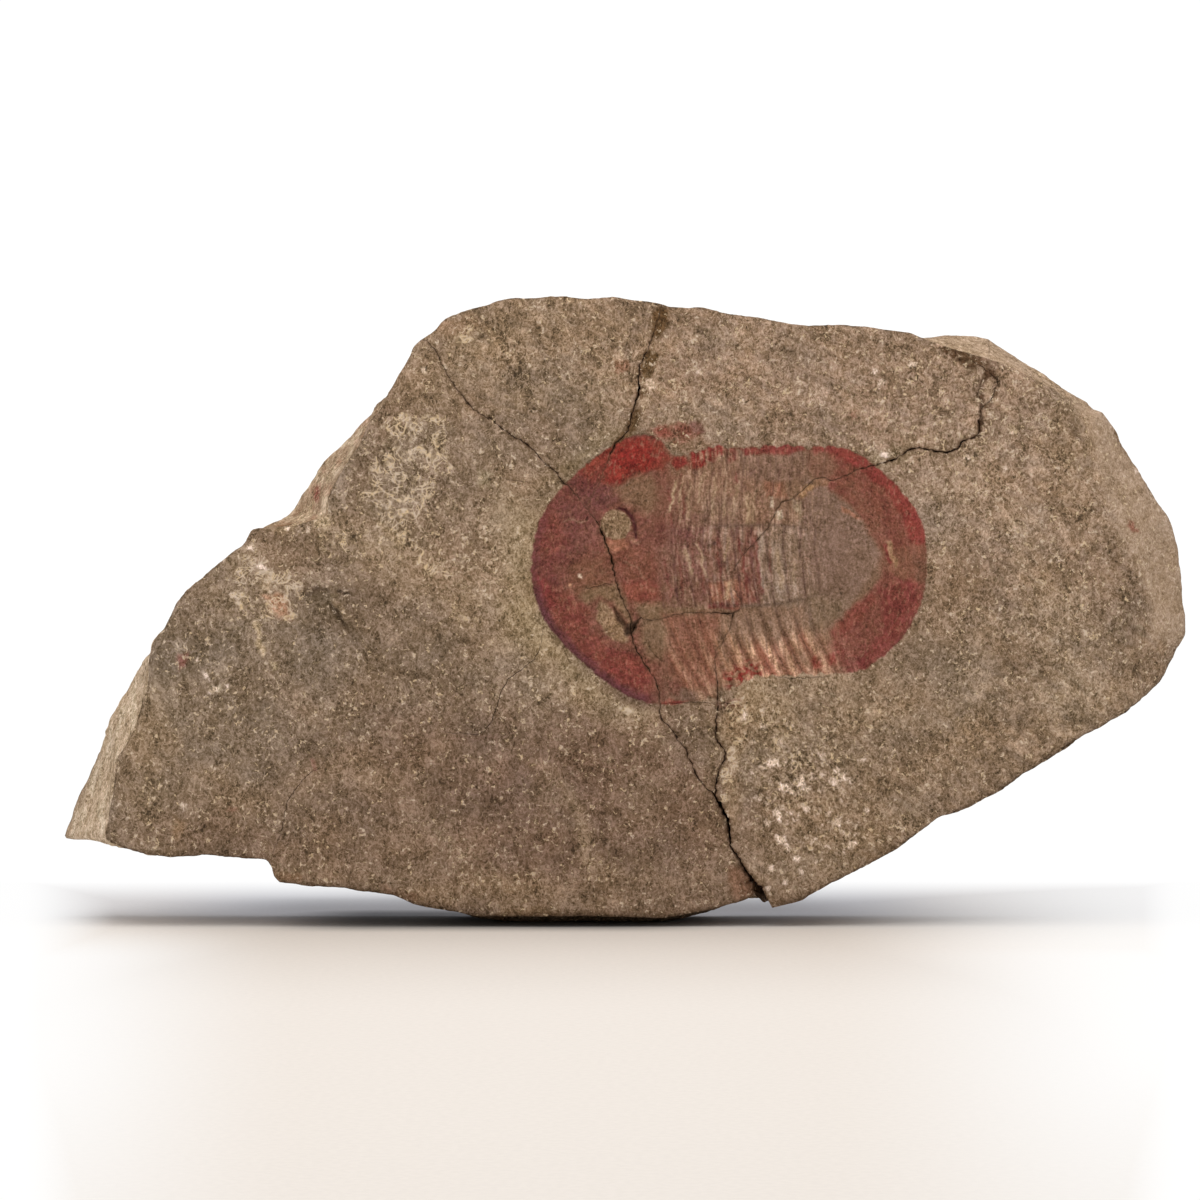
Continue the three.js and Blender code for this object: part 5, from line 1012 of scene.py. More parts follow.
def triangles(loop, x, z, extra=None):
    """Constrained triangulation of a loop with inner points: vertex order is loop, extra, then x and z."""
    pts = [loop]
    edges = [(i, (i + 1) % len(loop)) for i in range(len(loop))]
    if extra is not None and len(extra):
        pts.append(extra)
    pts.append(np.stack([x, z], -1))
    pts = np.concatenate(pts)
    res = delaunay_2d_cdt([Vector((float(a), float(b))) for a, b in pts], edges, [], 1, 1e-5)
    out, faces, back = res[0], res[2], res[3]
    source = np.full(len(out), -1)
    for i, o in enumerate(back):
        if o:
            source[i] = o[0]
    lost = len(pts) - len(set(source[source >= 0].tolist()))
    made = int((source < 0).sum())
    tri = source[np.array(faces, dtype=np.int64)]
    tri = tri[(tri >= 0).all(1)]
    a, b, c = pts[tri[:, 0]], pts[tri[:, 1]], pts[tri[:, 2]]
    area = (b[:, 0] - a[:, 0]) * (c[:, 1] - a[:, 1]) - (b[:, 1] - a[:, 1]) * (c[:, 0] - a[:, 0])
    tri[area < 0] = tri[area < 0][:, ::-1]
    return tri, lost, made


def zip_columns(a, pa, b, pb):
    """Triangles between two columns of vertices a and b, top to bottom, at the shares pa and pb of the way."""
    out, i, j = [], 0, 0
    while i < len(a) - 1 or j < len(b) - 1:
        if j == len(b) - 1 or (i < len(a) - 1 and pa[i + 1] <= pb[j + 1]):
            out.append((a[i], b[j], a[i + 1]))
            i += 1
        else:
            out.append((a[i], b[j], b[j + 1]))
            j += 1
    return out


def fragment(name, h_front, h_back, h_shell=None, seed=1):
    """Points and triangles of one fragment, in frame millimetres."""
    columns = []                                     # each: u, v, depth arrays from front to back, and if it is rim
    loop_def = LOOPS[name]
    sides, gaps = [], []
    for item in loop_def:
        if not isinstance(item, str):
            _, s0, s1 = item
            first = 0.28 if s0 != MOUTH_LEFT else 0.0
            u, v, d, _ = rim_columns(s0, s1, first)
            sides.append([("rim", u[i], v[i], d[i]) for i in range(len(u))])
            continue
        back = item[0] == "-"
        key = item.lstrip("-")
        line = LINES[key]
        p, n, half = line["p"], line["n"], line["half"]
        ends = CORNERS[key]
        if back:
            p, n, half, ends = p[::-1], -n[::-1], half[::-1], ends[::-1]
        pts = []
        for k in range(len(p)):
            pts.append(("joint", p[k], n[k], half[k]))
        lo = 1 if ends[0] is not None else 2
        hi = len(pts) - (1 if ends[1] is not None else 2)
        sides.append({"pts": pts[lo:hi], "start": ends[0], "end": ends[1], "first": pts[0], "last": pts[-1], "mouth": key == "J"})

    outer = []                                       # where joints reach the rim: place and the rim's own column
    for i, side in enumerate(sides):
        if isinstance(side, dict) and not side["mouth"]:
            if side["start"] is None:
                outer.append((side["first"][1], sides[i - 1][-1]))
            if side["end"] is None:
                outer.append((side["last"][1], sides[(i + 1) % len(sides)][0]))

    def joint_column(centre, offset):
        gaps.append(float(np.hypot(*offset)))
        d = JOINT_D
        cu, cv = np.full(d.shape, centre[0]), np.full(d.shape, centre[1])
        wu, wv = wander(cu, cv, d)
        # towards the rim the joint follows the slab's broken side, so that it neither sticks out nor falls short
        for place, (_, ru, rv, rd) in outer:
            real = rd[0] + (JOINT_D[-1] - rd[0]) * d / JOINT_D[-1]
            run = np.maximum.accumulate(rd) + 1e-6 * np.arange(len(rd))
            du, dv = np.interp(real, run, ru - ru[0]), np.interp(real, run, rv - rv[0])
            reach = np.maximum(24.0, 2.6 * np.hypot(du - wu, dv - wv))
            k = 1 - smooth(0.0, reach, np.hypot(*(np.asarray(centre) - np.asarray(place))) - 1.5)
            wu, wv = wu * (1 - k) + du * k, wv * (1 - k) + dv * k
        if name == "left_slab":
            wv = wv + 7.5 * smooth(1.0, 6.0, d) * np.exp(-(np.hypot(centre[0] - 764, centre[1] - 900) / 12.0) ** 2)
        return ("joint", cu + offset[0] + wu, cv + offset[1] + wv, d.copy())

    for i, side in enumerate(sides):
        if isinstance(side, list):
            columns += side
            continue
        if side["start"] is not None:                # a corner between this joint and the one before it
            before = sides[i - 1]["last"]
            here = side["first"]
            n1, n2 = before[2], here[2]
            g1, g2 = before[3], here[3]
            cosine = float(np.dot(n1, n2))
            if cosine > 0.9:
                off = (n1 * g1 + n2 * g2) / 2
            else:
                m = np.array([n1, n2])
                off = np.linalg.lstsq(m, np.array([g1, g2]), rcond=1e-3)[0]
                size = np.hypot(*off)
                off = off * min(1, 2.6 * max(g1, g2) / max(size, 1e-9))
            columns.append(joint_column(here[1], off))
            corner = here[1] + off
        else:
            corner = None
        for _, centre, n, g in side["pts"]:
            spot = centre + n * g
            if corner is not None and np.hypot(*(spot - corner)) < 0.9:
                continue
            columns.append(joint_column(centre, n * g))
        # drop the points that would fold over the next corner
        if side["end"] is not None:
            nxt = sides[(i + 1) % len(sides)]
            n1, n2, g1, g2 = side["last"][2], nxt["first"][2], side["last"][3], nxt["first"][3]
            m = np.array([n1, n2])
            off = np.linalg.lstsq(m, np.array([g1, g2]), rcond=1e-3)[0] if np.dot(n1, n2) <= 0.9 else (n1 * g1 + n2 * g2) / 2
            off = off * min(1, 2.6 * max(g1, g2) / max(np.hypot(*off), 1e-9))
            corner = side["last"][1] + off
            while len(columns) > 3 and columns[-1][0] == "joint" and np.hypot(columns[-1][1][0] - corner[0], columns[-1][2][0] - corner[1]) < 0.9:
                columns.pop()
                gaps.pop()
    m = len(columns)
    counts = np.array([len(c[1]) for c in columns])
    start = np.concatenate([[0], np.cumsum(counts)])
    wu = np.concatenate([c[1] for c in columns])
    wv = np.concatenate([c[2] for c in columns])
    wd = np.concatenate([c[3] for c in columns])
    front_i, back_i = start[:-1], start[1:] - 1
    left = name == "left_slab"

    # ---- front face
    loop = np.stack([to_x(wu[front_i]), to_z(wv[front_i])], -1)
    lo, hi = loop.min(0), loop.max(0)
    x, z = hex_grid(lo, hi, h_front, 11 * seed)
    if h_shell:
        fine_x, fine_z = hex_grid((to_x(526), to_z(708)), (to_x(932), to_z(416)), h_shell, 7 * seed)
        in_shell = signed(to_u(fine_x), to_v(fine_z), SHELL) > -3
        keep = signed(to_u(x), to_v(z), SHELL) < -3 - h_front / STEP * 0.45
        x, z = np.concatenate([x[keep], fine_x[in_shell]]), np.concatenate([z[keep], fine_z[in_shell]])
    ok = keep_inside(x, z, loop)
    x, z = x[ok], z[ok]
    ok = clear_of(x, z, loop, 0.17)
    x, z = x[ok], z[ok]
    grooves, groove_depth = [], []
    for pts, deep in HAIRLINES:
        line = rough_line(pts, 1.4)
        q, n = line["p"], line["n"]
        taper = np.sin(np.pi * np.clip(np.arange(len(q)) / (len(q) - 1), 0.06, 0.94)) ** 0.4
        for side_, share in ((-1, 0), (0, 1), (1, 0)):
            w = 0.42 * side_ * taper
            grooves.append(np.stack([to_x(q[:, 0] + n[:, 0] * w), to_z(q[:, 1] + n[:, 1] * w)], -1))
            groove_depth.append(np.full(len(q), deep * share) * taper)
    grooves, groove_depth = np.concatenate(grooves), np.concatenate(groove_depth)
    ok = keep_inside(grooves[:, 0], grooves[:, 1], loop)
    grooves, groove_depth = grooves[ok], groove_depth[ok]
    if len(grooves):
        ok = clear_of(grooves[:, 0], grooves[:, 1], loop, 0.25)
        grooves, groove_depth = grooves[ok], groove_depth[ok]
        ok = clear_of(x, z, grooves, 0.16)
        x, z = x[ok], z[ok]
    tri, lost, made = triangles(loop, x, z, grooves)
    fx = np.concatenate([grooves[:, 0], x]) if len(grooves) else x
    fz = np.concatenate([grooves[:, 1], z]) if len(grooves) else z
    fdeep = np.concatenate([groove_depth, np.zeros(len(x))])

    # ---- back face
    bloop = np.stack([to_x(wu[back_i]), to_z(wv[back_i])], -1)
    bx, bz = hex_grid(bloop.min(0), bloop.max(0), h_back, 5 * seed)
    ok = keep_inside(bx, bz, bloop)
    bx, bz = bx[ok], bz[ok]
    ok = clear_of(bx, bz, bloop, 0.4)
    bx, bz = bx[ok], bz[ok]
    btri, blost, bmade = triangles(bloop, bx, bz)

    # ---- put the vertices together: columns, front points, back points
    u_all = np.concatenate([wu, to_u(fx), to_u(bx)])
    v_all = np.concatenate([wv, to_v(fz), to_v(bz)])
    nw, nf = len(wu), len(fx)
    depth = np.concatenate([wd, np.zeros(nf), np.zeros(len(bx))])
    is_front = np.zeros(len(u_all), bool)
    is_front[front_i] = True
    is_front[nw:nw + nf] = True
    fu, fv = u_all[is_front], v_all[is_front]
    f = shell_fields(fu, fv)
    dep = front_depth(fu, fv, f, np.full(fu.shape, left))
    # crumbled edges beside the joints
    jl = np.concatenate([wu[front_i][[c[0] == "joint" for c in columns]]]), np.concatenate([wv[front_i][[c[0] == "joint" for c in columns]]])
    tree = KDTree(len(jl[0]))
    for i in range(len(jl[0])):
        tree.insert((jl[0][i], jl[1][i], 0), i)
    tree.balance()
    found = [tree.find((a, b, 0)) for a, b in zip(fu.tolist(), fv.tolist())]
    near_joint = np.array([g[2] for g in found])
    gaps = np.array(gaps)
    for _ in range(2):
        gaps[1:-1] = (gaps[:-2] + 2 * gaps[1:-1] + gaps[2:]) / 4
    near_gap = gaps[np.array([g[1] for g in found])]
    chip = 0.5 + perlin(fu / 7, fv / 7, 0, 341) * 1.6
    open_joint = np.clip((near_gap - 0.06) / 0.45, 0.0, 1.15)
    dep += (0.30 * bell(near_joint, 1.3) * open_joint + 0.13 * bell(near_joint, 4.5) * (0.3 + 0.7 * open_joint)) * np.clip(chip, 0.15, 1.3)
    depth[is_front] = dep
    depth[nw:nw + nf] += fdeep
    # the side's upper rows start from the front edge's real depth
    edge_depth = depth[front_i]
    for i, c in enumerate(columns):
        a, b = start[i], start[i + 1]
        if c[0] == "rim":
            reach = 1 - np.clip((depth[a + 1:b] - wd[a]) / max(wd[a + 20] - wd[a], 1e-6), 0, 1) if b - a > 20 else 0
            depth[a + 1:b] += (edge_depth[i] - wd[a]) * reach
        else:
            depth[a + 1:b] = edge_depth[i] + (JOINT_D[-1] - edge_depth[i]) * (JOINT_D[1:] / JOINT_D[-1])
    # back: split along the bedding in steps
    bu, bv = to_u(bx), to_v(bz)
    lev = perlin(bx / 34, bz / 22, 0, 351) + 0.4 * perlin(bx / 11, bz / 9, 0, 352) + 0.12 * perlin(bx / 3, bz / 3, 0, 353)
    bd = 26.75 + 0.35 * fbm(bx / 45, bz / 45, 0, 2, 354) + 0.16 * fbm(bx / 5, bz / 4, 0, 3, 356)
    for e in (-0.34, -0.1, 0.16, 0.4):
        bd -= 0.42 * smooth(e, e + 0.045, lev)
    rd, at = line_distance(bu, bv, rim[:, 6:8], True)
    edge = np.interp(at * ROUND, ring_run, ring[:, 8])
    bd = bd + (np.minimum(edge, 26.9) - 26.7) * np.exp(-(rd * STEP / 3.0)) - 0.5 * np.exp(-(rd * STEP / 1.2))
    foot = (bv > 800) & (bu > 430) & (bu < 730)
    bd = np.where(foot, bd + (24.5 - bd) * smooth(830, 925, bv), bd)
    depth[nw + nf:] = np.minimum(bd, 27.3)

    # ---- sides
    sides_t = []
    for i in range(m):
        j = (i + 1) % m
        a, b = np.arange(start[i], start[i + 1]), np.arange(start[j], start[j + 1])
        if len(a) == len(b):
            sides_t.append(np.stack([a[:-1], b[:-1], b[1:]], -1))
            sides_t.append(np.stack([a[:-1], b[1:], a[1:]], -1))
        else:
            pa = (depth[a] - depth[a[0]]) / (depth[a[-1]] - depth[a[0]])
            pb = (depth[b] - depth[b[0]]) / (depth[b[-1]] - depth[b[0]])
            sides_t.append(np.array([(p, q, r) for p, q, r in zip_columns(a, pa, b, pb)]))
    sides_t = np.concatenate(sides_t)
    index_front = np.concatenate([front_i, nw + np.arange(nf)])
    index_back = np.concatenate([back_i, nw + nf + np.arange(len(bx))])
    faces = np.concatenate([index_front[tri], sides_t, index_back[btri][:, ::-1]])
    xyz = np.stack([to_x(u_all), Y_PLANE + depth, np.maximum(to_z(v_all), 0)], -1)
    kind = np.zeros(len(u_all), int)                 # 0 side, 1 front, 2 back
    kind[is_front] = 1
    kind[nw + nf:] = 2
    in_joint = np.zeros(len(u_all), bool)
    for i, c in enumerate(columns):
        if c[0] == "joint":
            in_joint[start[i]:start[i + 1]] = True
    return {"xyz": xyz, "faces": faces, "u": u_all, "v": v_all, "depth": depth, "kind": kind, "f": f, "is_front": is_front,
            "near_joint": near_joint, "open": open_joint, "in_joint": in_joint, "groove": fdeep, "nw": nw, "nf": nf}

# ---------------------------------------------------------------- colour of a whole fragment
# Where thin whitish crusts lie on the stone: outline, how dense, softness.
CRUSTS = [([(362, 520), (358, 500), (372, 470), (388, 440), (378, 424), (398, 415), (440, 414), (456, 436), (452, 470), (436, 496), (424, 515), (404, 528)], 1.0, 8),
          ([(372, 518), (392, 516), (420, 548), (452, 572), (440, 584), (410, 566)], 0.9, 7), ([(226, 578), (236, 556), (258, 548), (268, 560), (292, 572), (304, 596), (298, 622), (262, 620), (240, 610)], 1.0, 7),
          ([(306, 508), (326, 502), (332, 524), (346, 536), (352, 560), (330, 560), (316, 536)], 0.95, 6), ([(424, 585), (470, 598), (520, 610), (500, 628), (440, 612)], 0.6, 10),
          ([(205, 660), (240, 655), (250, 690), (215, 702), (200, 690)], 0.65, 8), ([(500, 540), (540, 590), (548, 640), (520, 650), (490, 590)], 0.3, 14),
          ([(724, 690), (752, 688), (752, 720), (742, 764), (732, 772), (738, 800), (734, 826), (724, 812), (720, 776), (730, 740)], 1.0, 5),
          ([(755, 690), (800, 700), (780, 760), (752, 745)], 0.6, 14), ([(600, 690), (650, 706), (640, 724), (596, 706)], 0.6, 8), ([(1000, 585), (1060, 560), (1075, 640), (1030, 680)], 0.45, 20),
          ([(430, 322), (470, 312), (500, 330), (470, 350), (440, 344)], 0.5, 12), ([(935, 380), (975, 378), (975, 430), (945, 440)], 0.6, 12), ([(880, 350), (925, 358), (900, 378), (872, 372)], 0.5, 10)]


def side_colour(u, v, depth, kind):
    """Broken sides and the back: browner, in bands that follow the bedding."""
    x, z = to_x(u), to_z(v)
    c = np.ones(u.shape + (3,)) * rgb(134, 112, 90)
    band = fbm(x / 30, z / 30, depth / 0.8, 2, 401)
    c = c * (1 + 0.20 * band)[..., None]
    c = blend(c, rgb(150, 122, 94), 0.8 * smooth(0.0, 0.5, fbm(x / 14, z / 14, depth / 3, 2, 405)))
    c = blend(c, rgb(108, 90, 73), 0.7 * smooth(0.05, 0.5, fbm(x / 11, z / 11, depth / 2.2, 2, 409)))
    rust = smooth(0.22, 0.5, fbm(x / 9, z / 9, depth / 4, 3, 413))
    c = blend(c, rgb(134, 96, 66), 0.55 * rust)
    # the two cut-back corners are a pinkish tan with pale streaks, and their tone is also painted lighter, as painted
    # light on these bevels that face out to the sides
    su, sv = u + 30 * perlin(u / 26, v / 26, depth / 5, 425), v + 30 * perlin(u / 26, v / 26, depth / 5, 427)
    left = (1 - smooth(150, 172, su)) * smooth(590, 615, sv)
    upper_left = smooth(258, 272, su) * (1 - smooth(380, 398, su)) * smooth(396, 410, sv) * (1 - smooth(520, 538, sv))
    upper_right = smooth(918, 938, su) * (1 - smooth(455, 485, sv))
    streak = smooth(0.05, 0.4, fbm(u / 6, v / 38, depth / 7, 2, 417))
    for zone, tone, pale in ((left, (193, 168, 143), (214, 194, 170)), (upper_left, (166, 140, 116), (206, 184, 158)), (upper_right, (163, 138, 115), (186, 160, 138))):
        k = zone * smooth(0.2, 1.2, depth) * (1 - smooth(17, 22, depth))
        c = blend(c, rgb(*tone), 0.85 * k)
        c = blend(c, rgb(*pale), 0.6 * k * streak)
    k = upper_left * smooth(0.2, 1, depth)
    c = blend(c, rgb(150, 84, 62), 0.22 * k * smooth(0.15, 0.4, perlin(u / 9, v / 16, depth / 6, 421)))
    c = blend(c, rgb(138, 58, 52), 0.75 * k * patch(u, v, [(311, 484), (317, 484), (316, 500), (310, 501)], 2))
    return c


def colours(part):
    u, v, depth, kind = part["u"], part["v"], part["depth"], part["kind"]
    c = side_colour(u, v, depth, kind)
    front = part["is_front"]
    fc = paint(u[front], v[front], part["f"])
    c[front] = fc
    # the front's colour runs a little way down the joints, which are brown inside
    joint = part["in_joint"] & ~front
    c[joint] = blend(c[joint], rgb(104, 76, 54), 0.85)
    near = part["near_joint"]
    fu, fv = u[front], v[front]
    brown = 0.74 * bell(near, 1.0) * np.clip(part["open"] * 1.2, 0.55, 1) + 0.35 * bell(near, 3.2) * smooth(-0.2, 0.35, perlin(fu / 9, fv / 9, 0, 431)) * np.clip(part["open"], 0.2, 1)
    c[front] = blend(c[front], rgb(84, 60, 42), brown)
    # painted shade: a dark band along the front face's rim, much stronger along the lower edges, which face down
    rd, at = line_distance(fu, fv, rim[:, :2], True)
    s0 = at * ROUND
    turn = ring_at(s0 + 3)[:, :2] - ring_at(s0 - 3)[:, :2]
    lower_rim_shade = np.clip(-turn[:, 0] / np.maximum(np.hypot(turn[:, 0], turn[:, 1]), 1e-6), 0, 1)
    c[front] = blend(c[front], rgb(88, 70, 54), (0.12 + 0.62 * lower_rim_shade) * bell(rd, 1.5) + (0.06 + 0.18 * lower_rim_shade) * bell(rd, 5))
    nw = part["nw"]
    g = part["groove"]
    idx = np.arange(nw, nw + part["nf"])
    c[idx] = blend(c[idx], rgb(74, 54, 40), np.clip(g * 3.2, 0, 0.85))
    mark = np.zeros(u.shape + (3,))
    mark[..., 0][front] = part["f"]["in"] * (1 - 0.8 * part["f"]["eye"]) * (1 - 0.6 * part["f"]["eye_low"])     # worn shell
    # how strong the grain is
    rough = np.full(fu.shape, 0.5)
    for cu, cv, ru, rv, k in ((405, 470, 66, 70, 0.6), (250, 590, 70, 60, 0.6), (520, 360, 110, 70, 0.62), (640, 360, 90, 60, 0.58), (800, 780, 100, 90, 0.64),
                              (500, 560, 60, 90, 0.58), (300, 520, 50, 30, 0.6), (760, 710, 50, 40, 0.62), (1050, 600, 120, 160, 0.56)):
        rough = np.maximum(rough, k * bell((fu - cu) / ru, 1) * bell((fv - cv) / rv, 1))
    mark[..., 1] = 0.5
    slope = patch(fu, fv, SLOPE, 8)
    mark[..., 1][front] = (rough + 0.10 * perlin(fu / 34, fv / 30, 0, 443)) * (1 - 0.38 * slope)
    many = np.full(fu.shape, 0.30)
    for cu, cv, ru, rv, k in ((410, 460, 62, 62, 0.6), (400, 530, 70, 34, 0.6), (262, 584, 50, 40, 0.6), (240, 560, 50, 40, 0.6), (790, 772, 78, 76, 0.8), (850, 835, 80, 50, 0.7), (345, 500, 40, 50, 0.5),
                              (215, 685, 50, 50, 0.7), (300, 720, 130, 60, 0.5), (480, 560, 60, 70, 0.6), (960, 430, 190, 80, 0.6), (530, 690, 60, 40, 0.6),
                              (700, 370, 250, 60, 0.5), (1060, 600, 120, 150, 0.5), (520, 850, 200, 70, 0.45), (830, 720, 100, 40, 0.7), (300, 860, 140, 30, 0.5)):
        many = np.maximum(many, k * bell((fu - cu) / ru, 1) * bell((fv - cv) / rv, 1))
    many = many * (0.75 + 1.0 * perlin(fu / 28, fv / 24, 0, 441))
    mark[..., 2] = 0.35
    mark[..., 2][front] = np.clip(many, 0, 1) * (1 - part["f"]["in"])   # pale flecks
    crust = np.zeros(u.shape)
    wu, wv = fu + 9 * perlin(fu / 14, fv / 14, 0, 447), fv + 9 * perlin(fu / 14, fv / 14, 0, 449)
    here = np.zeros(fu.shape)
    for pts, k, soft in CRUSTS:
        here = np.maximum(here, k * patch(wu, wv, pts, soft))
    crust[front] = here * (1 - part["f"]["in"])
    return c, mark, crust


# ---------------------------------------------------------------- material
def node(tree, kind, **values):
    n = tree.nodes.new(kind)
    for k, val in values.items():
        if k in n.inputs.keys():
            n.inputs[k].default_value = val
        else:
            setattr(n, k, val)
    return n


def link(tree, a, b):
    tree.links.new(a, b)


def ramp(tree, fac, stops):
    n = tree.nodes.new("ShaderNodeValToRGB")
    e = n.color_ramp.elements
    while len(e) < len(stops):
        e.new(0.5)
    for el, (pos, val) in zip(e, stops):
        el.position = pos
        el.color = (val, val, val, 1) if not isinstance(val, tuple) else (*val, 1)
    link(tree, fac, n.inputs["Fac"])
    return n.outputs["Color"]


def math_node(tree, op, a, b=None, clamp=False):
    n = tree.nodes.new("ShaderNodeMath")
    n.operation = op
    n.use_clamp = clamp
    for i, s in enumerate((a, b)):
        if s is None:
            continue
        if isinstance(s, (int, float)):
            n.inputs[i].default_value = s
        else:
            link(tree, s, n.inputs[i])
    return n.outputs[0]


def noise(tree, coords, scale, detail=2.0, rough=0.5, distortion=0.0, stretch=None):
    src = coords
    if stretch is not None:
        m = tree.nodes.new("ShaderNodeMapping")
        m.inputs["Scale"].default_value = stretch[0]
        m.inputs["Rotation"].default_value = stretch[1]
        link(tree, coords, m.inputs["Vector"])
        src = m.outputs["Vector"]
    n = tree.nodes.new("ShaderNodeTexNoise")
    n.inputs["Scale"].default_value = scale
    n.inputs["Detail"].default_value = detail
    n.inputs["Roughness"].default_value = rough
    n.inputs["Distortion"].default_value = distortion
    link(tree, src, n.inputs["Vector"])
    return n.outputs["Fac"]


def stone_material(name, offset):
    mat = bpy.data.materials.new(name)
    mat.use_nodes = True
    t = mat.node_tree
    t.nodes.clear()
    out = t.nodes.new("ShaderNodeOutputMaterial")
    bsdf = t.nodes.new("ShaderNodeBsdfPrincipled")
    bsdf.inputs["IOR"].default_value = 1.45
    bsdf.inputs["Specular IOR Level"].default_value = 0.22
    link(t, bsdf.outputs[0], out.inputs["Surface"])
    coords = t.nodes.new("ShaderNodeTexCoord").outputs["Object"]
    tint = node(t, "ShaderNodeAttribute", attribute_name="tint").outputs["Color"]
    marked = node(t, "ShaderNodeAttribute", attribute_name="marks")
    marks, crusty = marked.outputs["Color"], marked.outputs["Alpha"]
    sep = t.nodes.new("ShaderNodeSeparateColor")
    link(t, marks, sep.inputs[0])
    shell, broken = sep.outputs[0], sep.outputs[1]
    many = sep.outputs[2]
    thread = noise(t, coords, 640, 2.0, 0.55, 0.9, ((1.0, 1.0, 0.72), (0, 0.6, 0)))
    thread2 = noise(t, coords, 1250, 2.0, 0.6, 0.7, ((1.0, 1.0, 0.74), (0, 0.45, 0)))
    worm = noise(t, coords, 1500, 2.0, 0.6, 0.6)
    grain = noise(t, coords, 2600, 2.0, 0.65, 0.2)
    cloud = noise(t, coords, 300, 4.0, 0.62, 0.5, ((1.0, 1.0, 0.7), (0, 0.6, 0)))
    broad = noise(t, coords, 70, 3.0, 0.55)
    fleck = noise(t, coords, 1000, 3.0, 0.6, 0.6)
    pit = noise(t, coords, 560, 3.0, 0.6, 0.6, ((1.0, 1.0, 0.66), (0, 0.6, 0)))

    def curve(src, lo, hi, a, b):
        n = t.nodes.new("ShaderNodeMapRange")
        n.interpolation_type = "SMOOTHSTEP"
        for key, val in (("From Min", lo), ("From Max", hi), ("To Min", a), ("To Max", b)):
            n.inputs[key].default_value = val
        link(t, src, n.inputs["Value"])
        return n.outputs[0]

    def ridge(src, width, size):
        off = math_node(t, "ABSOLUTE", math_node(t, "SUBTRACT", src, 0.5))
        return curve(off, 0.0, width, size, 0.0)

    grain_c = math_node(t, "SUBTRACT", grain, 0.5)
    cloud_c = math_node(t, "SUBTRACT", cloud, 0.5)
    broad_c = math_node(t, "SUBTRACT", broad, 0.5)
    calm = math_node(t, "SUBTRACT", 1.0, math_node(t, "MULTIPLY", shell, 0.42))
    calm_fine = math_node(t, "SUBTRACT", 1.0, math_node(t, "MULTIPLY", shell, 0.10))
    bare = math_node(t, "SUBTRACT", 1.0, math_node(t, "MULTIPLY", shell, 0.95))
    small = math_node(t, "MULTIPLY", math_node(t, "SUBTRACT", ridge(thread2, 0.085, 1.0), 0.36), 0.42)
    small = math_node(t, "ADD", small, curve(worm, 0.34, 0.66, -0.17, 0.17))
    small = math_node(t, "ADD", small, math_node(t, "MULTIPLY", grain_c, 1.2))
    total = math_node(t, "MULTIPLY", math_node(t, "SUBTRACT", ridge(thread, 0.075, 1.0), 0.34), 0.50)
    total = math_node(t, "ADD", total, math_node(t, "MULTIPLY", cloud_c, 1.65))
    total = math_node(t, "SUBTRACT", total, curve(pit, 0.60, 0.74, 0.0, 0.34))
    total = math_node(t, "ADD", math_node(t, "MULTIPLY", total, calm), math_node(t, "MULTIPLY", small, calm_fine))
    total = math_node(t, "MULTIPLY", total, math_node(t, "MULTIPLY", broken, 2.1))
    total = math_node(t, "ADD", total, math_node(t, "MULTIPLY", broad_c, 0.30))
    gain = math_node(t, "ADD", total, 1.0)
    gain = math_node(t, "MAXIMUM", gain, 0.25)
    mul = t.nodes.new("ShaderNodeVectorMath")
    mul.operation = "SCALE"
    link(t, tint, mul.inputs[0])
    link(t, gain, mul.inputs["Scale"])
    col = mul.outputs[0]

    def mix(a, b, fac):
        n = t.nodes.new("ShaderNodeMix")
        n.data_type = "RGBA"
        link(t, fac, n.inputs[0])
        if isinstance(a, tuple):
            n.inputs[6].default_value = (*a, 1)
        else:
            link(t, a, n.inputs[6])
        if isinstance(b, tuple):
            n.inputs[7].default_value = (*b, 1)
        else:
            link(t, b, n.inputs[7])
        return n.outputs[2]

    # pale flecks and worm-like crusts where there are many of them
    curl = noise(t, coords, 250, 1.0, 0.45, 1.5)
    curl2 = noise(t, coords, 470, 1.0, 0.5, 1.2)
    clump = noise(t, coords, 170, 1.0, 0.5, 0.6)
    crusts = math_node(t, "MAXIMUM", ridge(curl, 0.075, 1.0), math_node(t, "MULTIPLY", ridge(curl2, 0.058, 1.0), 0.9))
    crusts = math_node(t, "MULTIPLY", crusts, curve(math_node(t, "ADD", clump, math_node(t, "MULTIPLY", crusty, 0.27)), 0.68, 0.74, 0.0, 1.0))
    crusts = math_node(t, "MULTIPLY", crusts, curve(crusty, 0.1, 0.5, 0.0, 0.95))
    crusts = math_node(t, "MULTIPLY", crusts, curve(noise(t, coords, 560, 1.0, 0.5, 0.4), 0.40, 0.49, 0.3, 1.0))
    pale_fac = math_node(t, "ADD", fleck, math_node(t, "MULTIPLY", many, 0.11))
    pale_mask = math_node(t, "MULTIPLY", curve(pale_fac, 0.62, 0.69, 0.0, 0.85), curve(worm, 0.36, 0.56, 0.35, 1.0))
    pale_mask = math_node(t, "MULTIPLY", math_node(t, "MAXIMUM", pale_mask, crusts), bare)
    col = mix(col, tuple(rgb(217, 194, 169)), pale_mask)
